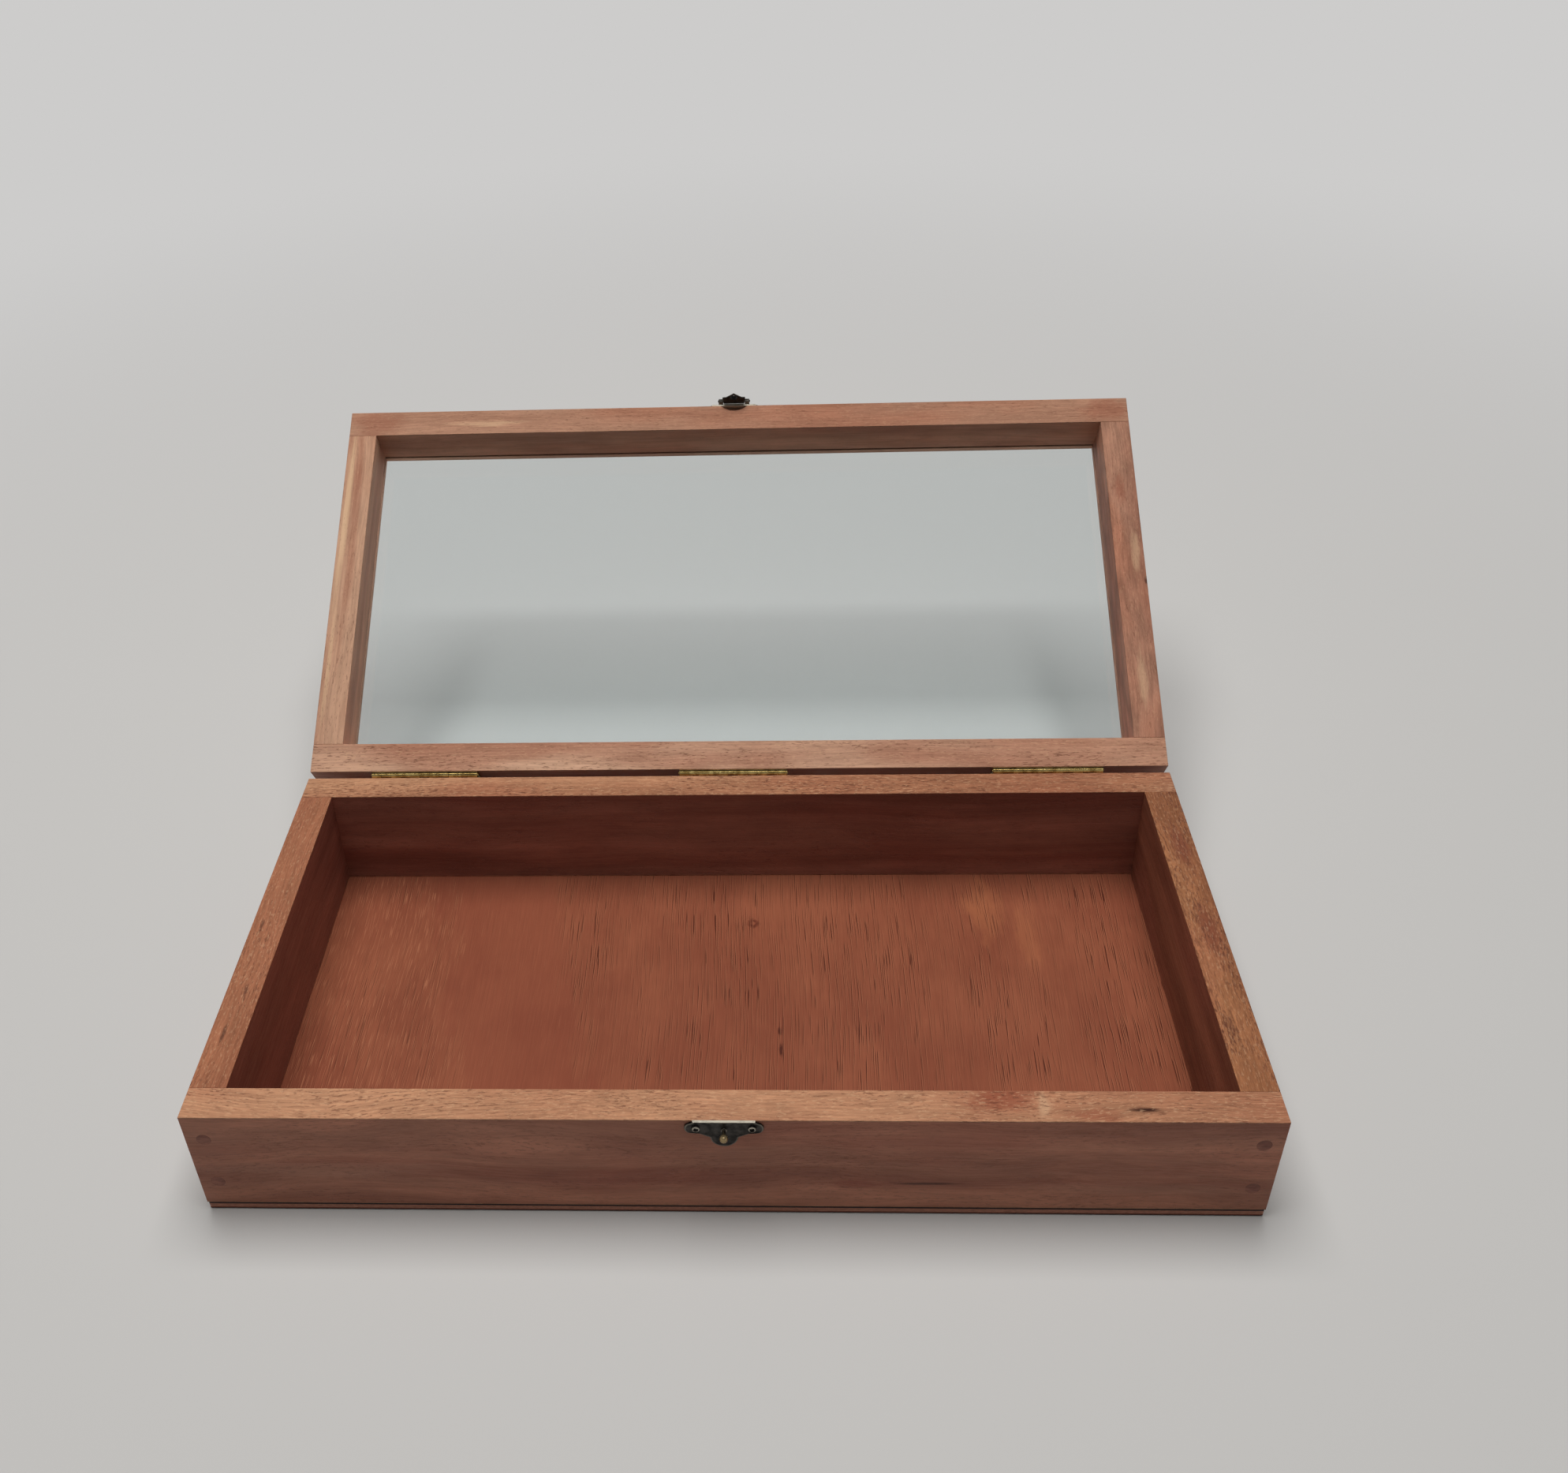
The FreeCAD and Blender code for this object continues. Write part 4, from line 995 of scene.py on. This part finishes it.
def strapSkin(path, thick, low, high):
    ahead = np.gradient(path, axis=0)
    ahead /= np.linalg.norm(ahead, axis=1)[:, None]
    side = np.stack([-ahead[:, 1], ahead[:, 0]], -1)
    corner = strapEdge["corner"]
    turn = np.linspace(0, math.pi / 2, strapEdge["points"])
    bend = np.stack([np.cos(turn), np.sin(turn)], -1) * corner
    box = np.array([(high - low) / 2 - corner, thick / 2 - corner])
    quarters = ((1, 1, 1), (-1, 1, -1), (-1, -1, 1), (1, -1, -1))  # signs of x and out, and the way round
    section = np.concatenate([(box + bend[::way]) * [xSign, outSign] for xSign, outSign, way in quarters])
    x = np.broadcast_to(section[:, 0] + (low + high) / 2, (len(path), len(section)))
    flat = path[:, None] + side[:, None] * section[None, :, 1:]
    onFaces = np.abs(section[:, 1]) > thick / 2 - strapEdge["wornDepth"]
    return np.concatenate([x[..., None], flat], -1), np.broadcast_to(strapEdge["wearAndHighlight"] * onFaces, x.shape)


# curls of the latch round its pin: a straight run to the curl, then an arc about the pin
latchCurl = {
    "pin": (3.2, -0.3),
    "radius": 1.1,
    "thick": 0.8,
    "runPoints": 8,
    "arcPoints": 40,
    "plateRun": (0.62, 3.6),
    "plateTurns": (201, 470),
    "knuckle": (7.05, 10.05),
    "flapRun": (1.95, -3.2),
    "flapTurns": (186, -85),
    "flapHalf": 6.8,
}


def curlPath(look, start, turns):
    turn = np.radians(np.linspace(*turns, look["arcPoints"]))
    arc = np.array(look["pin"]) + look["radius"] * np.stack([np.cos(turn), np.sin(turn)], -1)
    return np.concatenate([np.linspace(start, arc[0], look["runPoints"], endpoint=False), arc])


def knuckle(look, side):
    low, high = sorted(side * end for end in look["knuckle"])
    return strapSkin(curlPath(look, look["plateRun"], look["plateTurns"]), look["thick"], low, high)


def flapCurl(look):
    path = curlPath(look, look["flapRun"], look["flapTurns"])
    return strapSkin(path, look["thick"], -look["flapHalf"], look["flapHalf"])


# bent lip on the lower edge of the latch plate, worn bright and painted pale all over as a highlight
latchLip = {"start": (0.9, 0.5), "end": (1.62, 0.5), "points": 5, "thick": 0.6, "half": 6.8}


def lipSkin(look):
    path = np.linspace(look["start"], look["end"], look["points"])
    rings, wearAndHighlight = strapSkin(path, look["thick"], -look["half"], look["half"])
    return rings, np.ones_like(wearAndHighlight)


# latch flap: a house-shaped leaf, the furthest reach over its three outlines,
# as one skin that goes round its snap hole
flapLeaf = {
    "columns": 480,
    "holeDrop": 6.3,
    "hole": 2.35,
    "back": 1.55,
    "front": 2.35,
    "soft": 0.14,
    "walls": ((6.8, 0.0), (6.8, -5.9)),
    "eaves": ((7.4, -3.4), (7.4, -5.9)),
    "roof": ((5.3, -5.9), (0.0, -10.3)),
    "wearAndHighlight": (0, 0, 0.06, 0.06, 0.04, 0, 0),
}


def leafSkin(look, pin):
    rays = raysRound(look["columns"])
    middle = np.array([0, -look["holeDrop"]])
    reach = []
    for part in ("walls", "eaves", "roof"):
        right = np.array(look[part])
        corners = np.concatenate([right[::-1], right[right[:, 0] > 0] * [-1, 1]]) - middle
        reach.append(reachIn(rays, corners))
    outline = np.max(reach, axis=0)
    inner = np.full(look["columns"], look["hole"])
    back, front, soft = look["back"], look["front"], look["soft"]
    layers = [(inner, back), (outline - soft, back), (outline, back + soft), (outline, front - soft),
              (outline - soft, front), (inner + soft, front), (inner, front - soft)]
    radii = np.array([layer[0] for layer in layers])
    heights = np.array([layer[1] for layer in layers])
    flat = radii[..., None] * rays + middle
    out = np.broadcast_to(heights[:, None], radii.shape)
    rings = np.stack([flat[..., 0], out, flat[..., 1] + pin[1]], -1)
    return rings, np.broadcast_to(np.array(look["wearAndHighlight"])[:, None], radii.shape), True


# hood on the pin's side of the hole: an upright wall turned half way round it,
# its top cut off along a slant from the leaf to the ridge
flapHood = {
    "columns": 61,
    "outside": 2.85,
    "top": 4.85,
    "mouth": (0.5, 2.3),
    "startShare": 0.8,
    "leastHeight": 0.02,
    "ridgeDepth": 0.01,
    "wearAndHighlight": 0.05,
}


def hoodSkin(look, leaf, pin):
    near, far, soft, front = leaf["hole"], look["outside"], leaf["soft"], leaf["front"]
    low, top = front - soft, look["top"]
    mouthLow, mouthHigh = look["mouth"]
    first = math.asin(mouthLow / far) * look["startShare"]
    turn = np.linspace(first, math.pi - first, look["columns"])[:, None]
    radius = np.array([near, far, far, far - soft, near + soft, near])
    above = radius * np.sin(turn)
    slant = front + (above - mouthLow) * (top - front) / (mouthHigh - mouthLow)
    ridge = np.clip(slant, low + look["leastHeight"], top)
    down = np.array([np.inf, np.inf, soft, 0, 0, soft])
    out = np.maximum(ridge - down, low)
    rings = np.stack([radius * np.cos(turn), out, pin[1] - leaf["holeDrop"] + above], -1)
    return rings, look["wearAndHighlight"] * (out > top - look["ridgeDepth"])


# the catch on the case hangs from the rim; the latch on the lid stands a little above the lid's lower edge
latchRise = 0.2
catchTurns = (0.35, -0.6)
latchTurns = (0.9, 0.2)
makeFitting("catchPlate", [bellSkin(bellPlate, 0.0, -1)], caseFace, "agedBronze", "case",
            ["catch_plate"])
makeFitting("catchStud", [studSkin(ballStud)], caseFace, "studBrass", "case", ["catch_stud"])
makeFitting("catchScrews", headPair(panHead, -panHead["drop"], catchTurns), caseFace, "agedBronze",
            "case", ["catch_screws"])
knuckles = [knuckle(latchCurl, side) for side in (-1, 1)]
latchParts = [bellSkin(bellPlate, latchRise, 1), *knuckles, lipSkin(latchLip)]
makeFitting("latchPlate", latchParts, lidFace, "agedBronze", "lid", ["latch_plate"])
makeFitting("latchScrews", headPair(panHead, latchRise + panHead["drop"], latchTurns), lidFace, "agedBronze",
            "lid", ["latch_screws"])
latchPin = latchCurl["pin"]
flapParts = [flapCurl(latchCurl), hoodSkin(flapHood, flapLeaf, latchPin), leafSkin(flapLeaf, latchPin)]
makeFitting("latchFlap", flapParts, lidFace, "agedBronze", "latch", ["latch_flap"])
print("fittings: catch, stud, screws, latch plate, flap")
